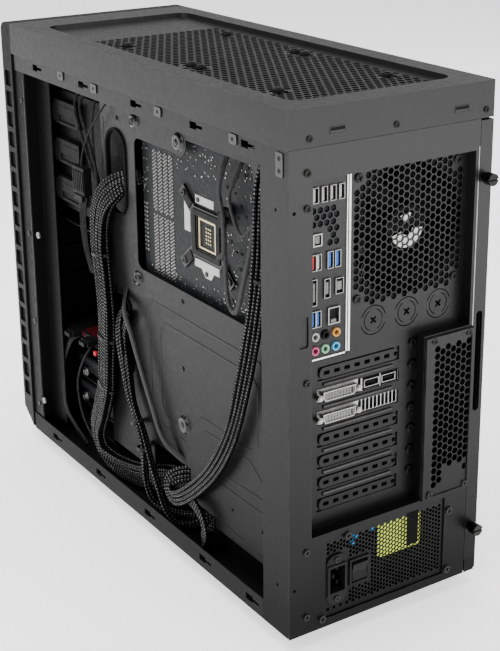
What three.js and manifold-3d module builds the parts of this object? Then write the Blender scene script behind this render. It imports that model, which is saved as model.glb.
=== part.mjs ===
// A desktop computer tower with its right side panel off: steel chassis, boards, drives, fans and wiring.
// Millimetres, +Z up. +Y is the rear, +X is the open side behind the motherboard tray.
// The origin is on the floor, under the middle of the outer box.
import * as THREE from "three";
import { mergeVertices } from "three/addons/utils/BufferGeometryUtils.js";
import Module from "manifold-3d";

const wasm = await Module();
wasm.setup();

// Outer body.
const WIDTH = 212;
const DEPTH = 540;
const HEIGHT = 466;
const FOOT_HEIGHT = 14;
const SCREW_HEAD_LENGTH = 12; // the thumbscrew heads stand this far behind the rear sheet
const RIGHT = WIDTH / 2;
const LEFT = -RIGHT;
const REAR = (DEPTH + SCREW_HEAD_LENGTH) / 2 - SCREW_HEAD_LENGTH;
const FRONT = REAR - DEPTH;
const BASE = FOOT_HEIGHT;
const TOP = BASE + HEIGHT;

// Sheet metal and running gaps.
const SHEET = 1.2;
const GAP = 0.3;

// Chassis planes.
const SKIN_RIGHT = RIGHT - SHEET; // outer face of the chassis on the open side
const SKIN_LEFT = LEFT + SHEET + 0.6;
const COVER_SKIRT = 32; // height of the top cover's side band
const COVER_BOTTOM = TOP - COVER_SKIRT;
const CHASSIS_FRONT = FRONT + 24; // front sheet of the chassis, behind the fascia
const RAIL_HEIGHT = 20;
const FLANGE_HEIGHT = 17;
const RECESS_DEPTH = 12;
const RECESS_FACE = REAR - RECESS_DEPTH;
const RECESS_INNER = RECESS_FACE - SHEET;
const CORNER_POST = 22; // width of the rear corner column
const POST_FRONT = REAR - 40;
const TRAY_FACE = RIGHT - 16.8; // outer face of the motherboard tray
const TRAY_FRONT = -84;
const TRAY_TOP = 433;

// Standard parts.
const SLOT_PITCH = 20.32;
const SLOT_TOP = 249.2; // height of the first expansion slot
const SLOT_COUNT = 7;
const SLOT_WINDOW = [-19, 68];
const COVER_REACH = [-36, 72];
const COVER_WIDTH = 18.4;
const IO_WIDTH = 44.1;
const IO_HEIGHT = 158;
const IO_CORNER = [37.2, 261.5];
const PSU = { halfWidth: 75, height: 85.5, length: 170, bottom: 18.5 };
const BOARD = { y: [-14, REAR - 14.5], z: [119, 424], face: TRAY_FACE - 7.6, thick: 1.6 };
const CPU = { y: 104, z: 334 };
const FAN = 120;
const FAN_DEPTH = 25;
const FAN_BORE = 58;
const REAR_FAN = { x: -26, z: 360 };
const FRONT_FAN_Z = 112;
const BAY_PITCH = 41.5;
const BAY_BOTTOM = 290;
const BAY_COUNT = 3;
const BAY_TOP = BAY_BOTTOM + BAY_COUNT * BAY_PITCH;
const DRIVE_PITCH = 31.5;
const TRAY_HOLE_Y = [-73, -32]; // both cable holes in the tray
const KEY_SLOTS = [-194, -89, 17, 123, 204];

// Finishes.
const BLACK_PAINT = { color: 0x26282a, roughness: 0.55, metalness: 0.3 };
const BLACK_PLASTIC = { color: 0x17181a, roughness: 0.5, metalness: 0 };
const BARE_STEEL = { color: 0xb4b6b6, roughness: 0.35, metalness: 0.9 };
const RUBBER = { color: 0x101010, roughness: 0.85, metalness: 0 };
const BOARD_BLACK = { color: 0x141719, roughness: 0.45, metalness: 0 };
const ALUMINIUM = { color: 0x9da0a3, roughness: 0.4, metalness: 0.9 };
const SLEEVE = { color: 0x1b1b1c, roughness: 0.8, metalness: 0 };
const RED_PLASTIC = { color: 0x7d1519, roughness: 0.4, metalness: 0 };

// ---- solids -------------------------------------------------------------------------------------

function solidOf(geometry) {
  geometry.deleteAttribute("normal");
  geometry.deleteAttribute("uv");
  const merged = mergeVertices(geometry);
  const triVerts = Uint32Array.from(merged.index.array);
  const vertProperties = merged.attributes.position.array;
  return new wasm.Manifold(new wasm.Mesh({ numProp: 3, vertProperties, triVerts }));
}

function join(first, ...rest) {
  return rest.reduce((whole, piece) => whole.add(piece), first);
}

function cut(whole, ...tools) {
  return tools.reduce((left, tool) => left.subtract(tool), whole);
}

// A block between two limits on each axis.
function block(x, y, z) {
  const geometry = new THREE.BoxGeometry(x[1] - x[0], y[1] - y[0], z[1] - z[0]);
  geometry.translate((x[0] + x[1]) / 2, (y[0] + y[1]) / 2, (z[0] + z[1]) / 2);
  return solidOf(geometry);
}

// A round rod along an axis, between two limits, centred on the two other coordinates in X, Y, Z order.
function rod(axis, span, centre, radius, sides = 24) {
  const length = span[1] - span[0];
  const middle = (span[0] + span[1]) / 2;
  const geometry = new THREE.CylinderGeometry(radius, radius, length, sides);
  if (axis === "x") geometry.rotateZ(Math.PI / 2).translate(middle, centre[0], centre[1]);
  if (axis === "y") geometry.translate(centre[0], middle, centre[1]);
  if (axis === "z") geometry.rotateX(Math.PI / 2).translate(centre[0], centre[1], middle);
  return solidOf(geometry);
}

// An outline swept along an axis. Its two coordinates are the other axes in X, Y, Z order.
function sweep(axis, span, outline, curveSegments = 6) {
  const depth = span[1] - span[0];
  const geometry = new THREE.ExtrudeGeometry(outline, { depth, bevelEnabled: false, curveSegments });
  const turn = new THREE.Matrix4();
  if (axis === "x") turn.set(0, 0, 1, span[0], 1, 0, 0, 0, 0, 1, 0, 0, 0, 0, 0, 1);
  if (axis === "y") turn.set(1, 0, 0, 0, 0, 0, -1, span[1], 0, 1, 0, 0, 0, 0, 0, 1);
  if (axis === "z") turn.makeTranslation(0, 0, span[0]);
  return solidOf(geometry.applyMatrix4(turn));
}

function polygon(points) {
  return new THREE.Shape(points.map(([u, v]) => new THREE.Vector2(u, v)));
}

function roundedRect(u, v, radius) {
  const shape = new THREE.Shape();
  shape.moveTo(u[0] + radius, v[0]);
  shape.lineTo(u[1] - radius, v[0]);
  shape.absarc(u[1] - radius, v[0] + radius, radius, -Math.PI / 2, 0);
  shape.lineTo(u[1], v[1] - radius);
  shape.absarc(u[1] - radius, v[1] - radius, radius, 0, Math.PI / 2);
  shape.lineTo(u[0] + radius, v[1]);
  shape.absarc(u[0] + radius, v[1] - radius, radius, Math.PI / 2, Math.PI);
  shape.lineTo(u[0], v[0] + radius);
  shape.absarc(u[0] + radius, v[0] + radius, radius, Math.PI, 1.5 * Math.PI);
  return shape;
}

function around(centre, half) {
  return [centre - half, centre + half];
}

function grown(span, by) {
  return [span[0] - by, span[1] + by];
}

// A round cable through a list of points.
function cable(points, radius, steps, sides) {
  const section = new THREE.Shape();
  section.absarc(0, 0, radius, 0, 2 * Math.PI);
  const route = new THREE.CatmullRomCurve3(points.map((p) => new THREE.Vector3(...p)), false, "centripetal");
  const settings = { steps, curveSegments: sides / 2, extrudePath: route, bevelEnabled: false };
  return solidOf(new THREE.ExtrudeGeometry(section, settings));
}

function piece(name, solid, finish) {
  const { vertProperties, triVerts } = solid.getMesh();
  const geometry = new THREE.BufferGeometry();
  geometry.setAttribute("position", new THREE.BufferAttribute(Float32Array.from(vertProperties), 3));
  geometry.setIndex(new THREE.BufferAttribute(Uint32Array.from(triVerts), 1));
  geometry.computeVertexNormals();
  const mesh = new THREE.Mesh(geometry, new THREE.MeshStandardMaterial({ ...finish, flatShading: true }));
  mesh.name = name;
  return mesh;
}

function placed(mesh, x, y, z, turnX = 0) {
  mesh.position.set(x, y, z);
  mesh.rotation.x = turnX;
  return mesh;
}

// ---- chassis ------------------------------------------------------------------------------------

// Slots that the side panel's hooks slide into: a wide mouth and a narrow tail.
function keySlots(x, z) {
  return KEY_SLOTS.map((y) =>
    join(block(x, [y - 9, y + 2], around(z, 3.2)), block(x, [y + 1.5, y + 12], around(z, 1.4))),
  );
}

function bottomPan() {
  const y = [CHASSIS_FRONT, REAR - 2.5];
  const floor = block([SKIN_LEFT, SKIN_RIGHT], y, [BASE, BASE + SHEET]);
  const railZ = [BASE, BASE + RAIL_HEIGHT];
  const rightRail = cut(
    block([SKIN_RIGHT - SHEET, SKIN_RIGHT], [y[0], POST_FRONT - GAP], railZ),
    ...keySlots(grown([SKIN_RIGHT - SHEET, SKIN_RIGHT], 1), BASE + RAIL_HEIGHT / 2),
  );
  const leftRail = block([SKIN_LEFT, SKIN_LEFT + SHEET], [y[0], REAR - 6], railZ);
  // Two runners under the floor carry the dust filter's edges.
  const runners = [-1, 1].map((side) => {
    const wall = [62 * side, 63.5 * side].sort((a, b) => a - b);
    const lip = [58.5 * side, 63.5 * side].sort((a, b) => a - b);
    return join(
      block(wall, [68, 246], [8.5, BASE + 0.5]),
      block(lip, [68, 246], [8.5, 9.5]),
    );
  });
  return join(floor, rightRail, leftRail, ...runners);
}

// The rear sheet: a flat frame round a stepped recess that holds the fan grille and the slots.
function rearPanel() {
  const outer = [REAR - SHEET, REAR];
  const left = LEFT + 14;
  const postEdge = SKIN_RIGHT - CORNER_POST;
  const recess = (inset) =>
    polygon([
      [-89 + inset, 262 + inset],
      [-38 + inset, 262 + inset],
      [-38 + inset, 104.5 + inset],
      [postEdge - inset, 104.5 + inset],
      [postEdge - inset, 422 - inset],
      [-89 + inset, 422 - inset],
    ]);
  const face = block([left, SKIN_RIGHT], outer, [BASE, COVER_BOTTOM - GAP]);
  const well = sweep("y", [RECESS_INNER, REAR], recess(0));
  const hollow = sweep("y", [RECESS_FACE, REAR + 1], recess(SHEET));
  const through = [RECESS_INNER - 1, RECESS_FACE + 1];
  const ioHole = block([IO_CORNER[0], IO_CORNER[0] + IO_WIDTH], through, [IO_CORNER[1], IO_CORNER[1] + IO_HEIGHT]);
  const slots = Array.from({ length: SLOT_COUNT }, (_, i) =>
    block(SLOT_WINDOW, through, around(SLOT_TOP - i * SLOT_PITCH, 6.4)),
  );
  const psuHole = block(around(0, 66.5), grown(outer, 1), [22, 100]);
  const wrap = block([SKIN_RIGHT - SHEET, SKIN_RIGHT], [POST_FRONT, REAR], [BASE + 1.5, COVER_BOTTOM - GAP]);
  const bend = block([left, left + SHEET], [REAR - 24, REAR], [20, 430]);
  const tab = block([SKIN_LEFT + 1.5, left + SHEET], [REAR - 4.2, REAR - 3], [20, 430]);
  const screwHoles = THUMBSCREWS.map((z) => rod("y", [REAR - 8, REAR], [THUMBSCREW_X, z], 2.6, 16));
  const gripHole = sweep("y", [REAR - 8, REAR - 2], gripOutline());
  return cut(join(face, well, wrap, bend, tab), hollow, ioHole, ...slots, psuHole, ...screwHoles, gripHole);
}

const THUMBSCREW_X = LEFT + 8;
const THUMBSCREWS = [62, 396];
const GRIP_Z = [178, 274];

function gripOutline() {
  return roundedRect([LEFT + 3.4, LEFT + 10.6], GRIP_Z, 3.5);
}

// The tray carries the motherboard on its far side. Its window gives access to the cooler's backplate.
function motherboardTray() {
  const thickness = [TRAY_FACE - SHEET, TRAY_FACE];
  const rear = REAR - 15;
  const outline = polygon([
    [TRAY_FRONT, 62],
    [5, 62],
    [5, 95],
    [75, 95],
    [75, 62],
    [120, 62],
    [120, 52],
    [rear, 52],
    [rear, TRAY_TOP],
    [TRAY_FRONT, TRAY_TOP],
  ]);
  const through = grown(thickness, 1);
  const windowHole = cut(
    join(
      sweep("x", through, roundedRect([-16, 190], [273, 402], 8)),
      sweep("x", through, roundedRect([66, 190], [300, 418], 8)),
    ),
    rod("x", grown(through, 1), [68, 414], 13, 32),
  );
  const upperHole = sweep("x", through, roundedRect(TRAY_HOLE_Y, [316, 404], 20));
  const lowerHole = sweep("x", through, roundedRect(TRAY_HOLE_Y, [146, 238], 20));
  const cableNotch = block([TRAY_FACE - 2, TRAY_FACE + 8], [210, 230], [419, TRAY_TOP + 2]);
  const topFlange = block([TRAY_FACE - 0.5, SKIN_RIGHT - 2.4], [TRAY_FRONT, rear], [TRAY_TOP - SHEET, TRAY_TOP]);
  return cut(join(sweep("x", thickness, outline), topFlange), windowHole, upperHole, lowerHole, cableNotch);
}

// A rubber rim that lines a cable hole in the tray.
function trayGrommet(z) {
  const span = [TRAY_FACE - 3, TRAY_FACE + 1.8];
  const rim = sweep("x", span, roundedRect(grown(TRAY_HOLE_Y, -GAP), grown(z, -GAP), 19.5));
  return cut(rim, sweep("x", grown(span, 1), roundedRect(grown(TRAY_HOLE_Y, -3), grown(z, -3), 16.5)));
}

// Front sheet of the chassis, with a channel-shaped post on the open side.
function frontFrame() {
  const sheet = [CHASSIS_FRONT, CHASSIS_FRONT + SHEET];
  const z = [BASE + 1.5, COVER_BOTTOM - 1];
  const postZ = [BASE + RAIL_HEIGHT + 0.5, COVER_BOTTOM - FLANGE_HEIGHT - 0.5];
  const x = [SKIN_LEFT + 1.5, SKIN_RIGHT - 1.5];
  const face = block(x, sheet, z);
  const bayHole = block(around(0, 74.5), grown(sheet, 1), [BAY_BOTTOM, BAY_TOP]);
  const fanHole = rod("y", grown(sheet, 1), [0, FRONT_FAN_Z], FAN_BORE, 32);
  const postEnd = CHASSIS_FRONT + 23;
  const postFace = block([x[1] - SHEET, x[1]], [CHASSIS_FRONT, postEnd], postZ);
  const postReturn = block([TRAY_FACE - SHEET, x[1]], [postEnd - SHEET, postEnd], postZ);
  const postInner = block([TRAY_FACE - SHEET, TRAY_FACE], [postEnd - SHEET, postEnd + 30], postZ);
  return join(cut(face, bayHole, fanHole), postFace, postReturn, postInner);
}

// Top sheet of the chassis under the cover, with two fan openings and a flange down each side.
function topFrame() {
  const y = [CHASSIS_FRONT + 2, REAR - 2];
  const plateZ = [TOP - 28, TOP - 28 + SHEET];
  const x = [SKIN_LEFT, SKIN_RIGHT - 0.6];
  const flangeZ = [COVER_BOTTOM - FLANGE_HEIGHT, plateZ[1]];
  const rightFlange = cut(
    block([x[1] - SHEET, x[1]], [y[0], POST_FRONT - GAP], flangeZ),
    ...keySlots(grown([x[1] - SHEET, x[1]], 1), COVER_BOTTOM - 7),
  );
  const leftFlange = block([x[0], x[0] + SHEET], [y[0], REAR - 6], flangeZ);
  const fanHoles = TOP_FANS.map((fanY) => rod("z", grown(plateZ, 1), [0, fanY], 66, 32));
  return join(cut(block(x, y, plateZ), ...fanHoles), rightFlange, leftFlange);
}

const TOP_FANS = [-21, 118];
const TOP_RECESS = { x: [-84, 84], y: [-212, 238], radius: 14 };

// The painted cover over the top, with a shallow recess for the grille and a lip under its edge.
function topCover() {
  const y = [CHASSIS_FRONT - 0.7, REAR];
  const roof = 1.5;
  const shell = cut(
    block([LEFT, RIGHT], y, [COVER_BOTTOM, TOP]),
    block(grown([LEFT, RIGHT], -SHEET), grown(y, -SHEET), [COVER_BOTTOM - 1, TOP - roof]),
  );
  const outline = (by) =>
    roundedRect(grown(TOP_RECESS.x, by), grown(TOP_RECESS.y, by), TOP_RECESS.radius + by);
  const rim = sweep("z", [TOP - 8, TOP - 0.2], outline(SHEET));
  const lip = sweep("z", [TOP - 8, TOP - 6.8], outline(0.2));
  const opened = cut(join(shell, rim), sweep("z", [TOP - 9, TOP + 1], outline(0)));
  return join(opened, cut(lip, sweep("z", [TOP - 9, TOP], outline(-5))));
}

function topGrille() {
  const outline = roundedRect(grown(TOP_RECESS.x, -GAP), grown(TOP_RECESS.y, -GAP), TOP_RECESS.radius);
  return sweep("z", [TOP - 6.4, TOP - 5.2], outline);
}

// A perforated plate screwed over the rear sheet beside the slots.
function slotVentPanel() {
  const outline = polygon([
    [-92, 104.8],
    [-37.5, 104.8],
    [-37.5, 261.5],
    [-92, 261.5],
  ]);
  return sweep("y", [REAR + GAP, REAR + GAP + SHEET], outline);
}

// ---- outside ------------------------------------------------------------------------------------

function fasciaProfile(wall) {
  const back = CHASSIS_FRONT - 1 + (wall ? 1 : 0);
  const round = 10 - wall;
  const shape = new THREE.Shape();
  shape.moveTo(back, BASE + 2 + wall);
  shape.lineTo(back, TOP - wall);
  shape.lineTo(FRONT + wall + round, TOP - wall);
  shape.absarc(FRONT + wall + round, TOP - wall - round, round, Math.PI / 2, Math.PI);
  shape.lineTo(FRONT + wall, BASE + 20 + wall);
  return shape;
}

const FILTER_WINDOW = { x: 82, z: [60, 270] };
const BUTTON_Z = 446;
const POWER_BUTTON = { x: 0, radius: 9 };
const RESET_BUTTON = { x: 30, radius: 4 };

function frontFascia() {
  const wall = 2.5;
  const outer = sweep("x", [LEFT, RIGHT], fasciaProfile(0), 8);
  const inner = sweep("x", [LEFT + wall, RIGHT - wall], fasciaProfile(wall), 8);
  const skin = [FRONT - 1, FRONT + wall + 1];
  const filterHole = block(around(0, FILTER_WINDOW.x), skin, FILTER_WINDOW.z);
  const bayHole = block(around(0, 74.5), skin, [BAY_BOTTOM, BAY_TOP]);
  const buttonHoles = [POWER_BUTTON, RESET_BUTTON].map((button) =>
    rod("y", skin, [button.x, BUTTON_Z], button.radius + GAP, 24),
  );
  return cut(outer, inner, filterHole, bayHole, ...buttonHoles);
}

function frontFilter() {
  const plate = block(around(0, FILTER_WINDOW.x - GAP), [FRONT + 0.4, FRONT + 2.4], grown(FILTER_WINDOW.z, -GAP));
  const edge = block(around(0, FILTER_WINDOW.x + 2), [FRONT + 2.9, FRONT + 4.4], grown(FILTER_WINDOW.z, 2));
  return join(plate, block(around(0, 80), [FRONT + 2.3, FRONT + 3], [62, 268]), edge);
}

// A blanking cover for one drive bay, with a spring arm at each side.
function bayCover() {
  const plate = block(around(0, 74.2), [FRONT + 0.4, FRONT + 3.4], [GAP, BAY_PITCH - GAP]);
  const arms = [-1, 1].map((side) =>
    block([72 * side, 74 * side].sort((a, b) => a - b), [FRONT + 3, FRONT + 15], [10, 31]),
  );
  return join(plate, ...arms);
}

// A push button with a collar that keeps it behind the fascia.
function pushButton(radius) {
  return join(
    rod("y", [FRONT + 0.2, FRONT + 12], [0, 0], radius, 24),
    rod("y", [FRONT + 2.9, FRONT + 4.4], [0, 0], radius + 1.6, 24),
  );
}

// The fixed side panel, with a folded rear edge that holds the finger grip and two thumbscrews.
function leftSidePanel() {
  const z = [BASE + 2, COVER_BOTTOM - 2];
  const sheet = block([LEFT, LEFT + SHEET], [CHASSIS_FRONT, REAR], z);
  const fold = block([LEFT, LEFT + 13.5], [REAR - SHEET, REAR], [z[0] + 12, z[1]]);
  const holes = THUMBSCREWS.map((height) => rod("y", [REAR - 3, REAR + 1], [THUMBSCREW_X, height], 2.6, 16));
  return cut(join(sheet, fold), ...holes, sweep("y", [REAR - 3, REAR + 1], gripOutline()));
}

function thumbscrew() {
  const shank = rod("y", [REAR - 9, REAR + 1], [0, 0], 1.9, 16);
  const collar = rod("y", [REAR + GAP, REAR + 4], [0, 0], 4, 20);
  const head = rod("y", [REAR + 3.5, REAR + SCREW_HEAD_LENGTH], [0, 0], 5.5, 20);
  const slot = block([-6, 6], [REAR + SCREW_HEAD_LENGTH - 1.4, REAR + SCREW_HEAD_LENGTH + 1], [-0.7, 0.7]);
  return cut(join(shank, collar, head), slot);
}

function foot() {
  const profile = [
    [0, 0],
    [11.5, 0],
    [13, 1.5],
    [13, FOOT_HEIGHT - GAP],
    [0, FOOT_HEIGHT - GAP],
  ];
  const geometry = new THREE.LatheGeometry(profile.map(([r, z]) => new THREE.Vector2(r, z)), 20);
  return solidOf(geometry.rotateX(Math.PI / 2));
}

function psuFilter() {
  const plate = block(around(0, 61), [72, 246], [9.8, 13.2]);
  const pull = block(around(0, 16), [240, 251], [9.8, 13.2]);
  return join(plate, pull);
}

// ---- fans ---------------------------------------------------------------------------------------

// A fan wheel turning about Z, centred on the origin.
function fanRotor(hub, tip, depth, blades) {
  const boss = rod("z", around(0, depth / 2), [0, 0], hub, 24);
  const pitch = THREE.MathUtils.degToRad(50);
  const chord = depth * 1.15;
  const vanes = Array.from({ length: blades }, (_, i) => {
    const vane = new THREE.BoxGeometry(tip - hub + 2, 1.4, chord);
    vane.rotateX(pitch);
    vane.translate((tip + hub - 2) / 2, 0, 0);
    vane.rotateZ((2 * Math.PI * i) / blades);
    return solidOf(vane);
  });
  return join(boss, ...vanes);
}

// A square fan housing about Z, with its motor mount on four arms at the low end.
function fanFrame(size, depth, bore) {
  const half = size / 2;
  const body = sweep("z", around(0, depth / 2), roundedRect([-half, half], [-half, half], 6), 3);
  const hole = rod("z", around(0, depth), [0, 0], bore, 32);
  const low = -depth / 2;
  const mount = rod("z", [low, low + 3], [0, 0], 20, 24);
  const arms = [0, 1].map((i) => {
    const arm = new THREE.BoxGeometry(bore * 2 + 2, 4, 3);
    arm.translate(0, 0, low + 1.5);
    arm.rotateZ(Math.PI / 4 + (i * Math.PI) / 2);
    return solidOf(arm);
  });
  return join(cut(body, hole), mount, ...arms);
}

// ---- drives -------------------------------------------------------------------------------------

// The cage for optical drives: an open channel from the fascia back.
function bayCage() {
  const y = [CHASSIS_FRONT + 26, -60];
  const half = 76.2;
  const z = [BAY_BOTTOM - SHEET, BAY_TOP + SHEET];
  return cut(block(around(0, half), y, z), block(around(0, half - SHEET), grown(y, 1), [BAY_BOTTOM, BAY_TOP]));
}

// A sliding lock on the side of one bay.
function bayLatch() {
  const body = block([0, 6.5], [0, 66], [-13, 13]);
  const dish = block([4.5, 7], [22, 60], [-9.5, -3]);
  const thumb = block([6, 8], [4, 14], [-10, 10]);
  return join(cut(body, dish), thumb);
}

const CAGE = { y: [-224, -110], z: [40, 272], x: [-74, 74] };
const TRAY_LEVELS = [58, 58 + DRIVE_PITCH];
const SHELF_Z = 141;

// The cage for hard drives: front and back walls with runners, a solid-state drive's shelf, open on both sides.
function driveCage() {
  const wallThickness = SHEET;
  const frontWall = block(CAGE.x, [CAGE.y[0], CAGE.y[0] + wallThickness], CAGE.z);
  const backWall = block(CAGE.x, [CAGE.y[1] - wallThickness, CAGE.y[1]], CAGE.z);
  const caps = CAGE.z.map((z, i) => block(CAGE.x, CAGE.y, i ? [z - SHEET, z] : [z, z + SHEET]));
  const shelf = block([-30, CAGE.x[1]], CAGE.y, [SHELF_Z, SHELF_Z + SHEET]);
  const levels = [...TRAY_LEVELS, ...[0, 1, 2].map((i) => SHELF_Z + DRIVE_PITCH * (i + 1))];
  const runners = levels.flatMap((z) => [
    block(CAGE.x, [CAGE.y[0], CAGE.y[0] + 5], [z - 1.5, z - GAP]),
    block(CAGE.x, [CAGE.y[1] - 5, CAGE.y[1]], [z - 1.5, z - GAP]),
  ]);
  const legs = [-70, 68].flatMap((x) => CAGE.y.map((y, i) => {
    const span = i ? [y - 12, y] : [y, y + 12];
    return block([x, x + 2], span, [BASE + SHEET + GAP, CAGE.z[0] + 1]);
  }));
  return join(frontWall, backWall, ...caps, shelf, ...runners, ...legs);
}

// A shallow tray that carries one hard drive, open towards the cables.
function driveTray() {
  const x = [CAGE.x[0], CAGE.x[1] - 6];
  const y = [CAGE.y[0] + 1.8, CAGE.y[1] - 1.8];
  const floor = block(x, y, [0, 2]);
  const walls = [[y[0], y[0] + 3], [y[1] - 3, y[1]]].map((span) => block(x, span, [0, 16]));
  const front = block([x[0], x[0] + 3], y, [0, 26]);
  return join(floor, ...walls, front);
}

function hardDrive() {
  const y = [CAGE.y[0] + 6.2, CAGE.y[0] + 6.2 + 101.6];
  const body = block([-68, 66], y, [2.5, 26.5]);
  const plug = block([60, 66.5], [y[0] + 12, y[0] + 60], [2, 9]);
  return cut(body, plug);
}

function solidStateDrive() {
  return block([-28, CAGE.x[1] - 1], [-214, -144], [SHELF_Z + SHEET + GAP, SHELF_Z + SHEET + GAP + 7]);
}

// ---- boards and rear parts ------------------------------------------------------------------------

// Circuit board with its socket, card slots and the block of rear connectors.
function motherboard() {
  const back = BOARD.face;
  const front = back - BOARD.thick;
  const board = block([front, back], BOARD.y, BOARD.z);
  const socket = block([front - 5, front + 0.5], around(CPU.y, 23), around(CPU.z, 23));
  const ports = block([IO_CORNER[0] + 5, front + 0.5], [REAR - 34, RECESS_INNER - 0.8], [266, 415]);
  const cardSlots = [1, 3, 5].map((i) =>
    block([front - 11, front + 0.5], [50, 138], around(SLOT_TOP - i * SLOT_PITCH, 3.8)),
  );
  const powerSocket = block([front - 13, front + 0.5], [BOARD.y[0] + 2, BOARD.y[0] + 12], [290, 342]);
  return join(board, socket, ports, ...cardSlots, powerSocket);
}

// Four memory modules in their sockets.
function memoryModules() {
  const front = BOARD.face - BOARD.thick;
  const sockets = block([front - 6, front - GAP], [3, 45], [256, 398]);
  const modules = [7, 17, 27, 37].map((y) => block([front - 34, front - 5], [y, y + 3.5], [260, 394]));
  return join(sockets, ...modules);
}

// X-shaped backplate of the processor cooler, with an open middle.
function cpuBackplate() {
  const x = [BOARD.face + GAP, BOARD.face + GAP + 2];
  const reach = 56;
  const arms = [1, -1].map((side) => {
    const arm = new THREE.BoxGeometry(x[1] - x[0], reach * 2, 11);
    arm.rotateX(side * Math.atan2(38, 45));
    arm.translate((x[0] + x[1]) / 2, CPU.y, CPU.z);
    return solidOf(arm);
  });
  const middle = block(x, around(CPU.y, 26), around(CPU.z, 24));
  return cut(join(middle, ...arms), block(grown(x, 1), around(CPU.y, 16), around(CPU.z, 15)));
}

const COOLER = { x: [-74, 26], y: [80, 130], z: [274, 394] };
const COOLER_FAN_Y = 67;

// Tower cooler: base, heat pipes, a stack of fins and the housing of its fan.
function cpuCooler() {
  const base = block([62, 74], around(CPU.y, 20), around(CPU.z, 20));
  const pipes = [-12, 0, 12].map((offset) => rod("x", [20, 64], [CPU.y, CPU.z + offset], 3, 12));
  const stack = block(COOLER.x, COOLER.y, COOLER.z);
  const grooves = Array.from({ length: 9 }, (_, i) => {
    const x = COOLER.x[0] + 8 + i * 10;
    return block([x, x + 5], [COOLER.y[0] + 6, COOLER.y[1] + 1], grown(COOLER.z, 1));
  });
  const middle = (COOLER.x[0] + COOLER.x[1]) / 2;
  const housing = cut(
    block([LEFT + 20, middle + 60], [COOLER_FAN_Y - 12.5, COOLER.y[0] + 0.5], COOLER.z),
    rod("y", [COOLER_FAN_Y - 14, COOLER.y[0] - 1], [middle, CPU.z], FAN_BORE, 32),
  );
  return join(base, ...pipes, cut(stack, ...grooves), housing);
}

const CARD = { x: [-38, 66], y: [-16, REAR - 18] };

// Graphics card: board, shroud and one fan well that faces down.
function graphicsCard() {
  const top = SLOT_TOP - SLOT_PITCH + 1.6;
  const board = block([CARD.x[0], 69], CARD.y, [top - 1.6, top]);
  const shroud = block(CARD.x, [CARD.y[0] + 2, CARD.y[1] - 2], [top - 34, top - 1]);
  const well = rod("z", [top - 40, top - 12], [14, 110], 45, 32);
  return cut(join(board, shroud), well);
}

// Two-slot bracket of the card, with two monitor sockets through the slot windows.
function graphicsBracket() {
  const first = SLOT_TOP - SLOT_PITCH;
  const z = [first - SLOT_PITCH - COVER_WIDTH / 2, first + COVER_WIDTH / 2];
  const plate = block(COVER_REACH, coverSpan(), z);
  const sockets = [first, first - SLOT_PITCH].map((height) =>
    block([30, 65], [coverSpan()[0], RECESS_FACE + 4], around(height, 4.4)),
  );
  return join(plate, ...sockets);
}

function coverSpan() {
  return [RECESS_INNER - 2, RECESS_INNER - 0.4];
}

function slotCover() {
  return block(COVER_REACH, coverSpan(), around(0, COVER_WIDTH / 2));
}

function ioShield() {
  const x = grown([IO_CORNER[0], IO_CORNER[0] + IO_WIDTH], -GAP);
  const z = grown([IO_CORNER[1], IO_CORNER[1] + IO_HEIGHT], -GAP);
  return block(x, [RECESS_INNER - 0.3, RECESS_FACE + 0.6], z);
}

// ---- power supply ---------------------------------------------------------------------------------

const PSU_FACE = REAR - SHEET - 0.5;
const PSU_FRONT = PSU_FACE - PSU.length;
const INLET = { x: 54.8, z: 57.8 };
const SWITCH = { x: 29.5, z: 58 };
const ROCKER_TILT = THREE.MathUtils.degToRad(-6); // the rocker rests tipped to one side

function psuCase() {
  const z = [PSU.bottom, PSU.bottom + PSU.height];
  const y = [PSU_FRONT, PSU_FACE];
  const outer = block(around(0, PSU.halfWidth), y, z);
  const inner = block(around(0, PSU.halfWidth - SHEET), grown(y, -SHEET), grown(z, -SHEET));
  const cableOutlet = sweep("y", around(PSU_FRONT, 3), roundedRect([30, 71], [38, 94], 6));
  const inletHole = block(around(INLET.x, 10.6), around(PSU_FACE, 3), around(INLET.z, 15.1));
  const bezel = block(around(SWITCH.x, 11), [PSU_FACE - 1, PSU_FACE + 1.8], around(SWITCH.z, 12.8));
  const switchHole = block(around(SWITCH.x, 8.6), around(PSU_FACE, 4), around(SWITCH.z, 10.6));
  return cut(join(cut(outer, inner), bezel), cableOutlet, inletHole, switchHole);
}

// Mains inlet: a deep socket with three blades and a screwed flange.
function psuInlet() {
  const socket = block(around(INLET.x, 10.2), [PSU_FACE - 18, PSU_FACE + 3.4], around(INLET.z, 14.7));
  const flange = sweep(
    "y",
    [PSU_FACE + GAP, PSU_FACE + 2.2],
    roundedRect(around(INLET.x, 11), around(INLET.z, 24), 9),
  );
  const cavity = block(around(INLET.x, 8), [PSU_FACE - 14, PSU_FACE + 4], around(INLET.z, 12.2));
  const blades = [
    [0, 0],
    [-4, -7],
    [-4, 7],
  ].map(([dx, dz]) =>
    block(around(INLET.x + dx, 1), [PSU_FACE - 16, PSU_FACE - 3], around(INLET.z + dz, 2)),
  );
  return join(cut(join(socket, flange), cavity), ...blades);
}

// The mains switch: a rocker that tips about a cross pin at its middle.
function psuRocker() {
  const profile = polygon([
    [-6, -8.6],
    [2.8, -8.8],
    [1.6, 0],
    [2.8, 8.8],
    [-6, 8.6],
  ]);
  return sweep("x", [-8, 8], profile);
}

// ---- wiring ---------------------------------------------------------------------------------------

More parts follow.
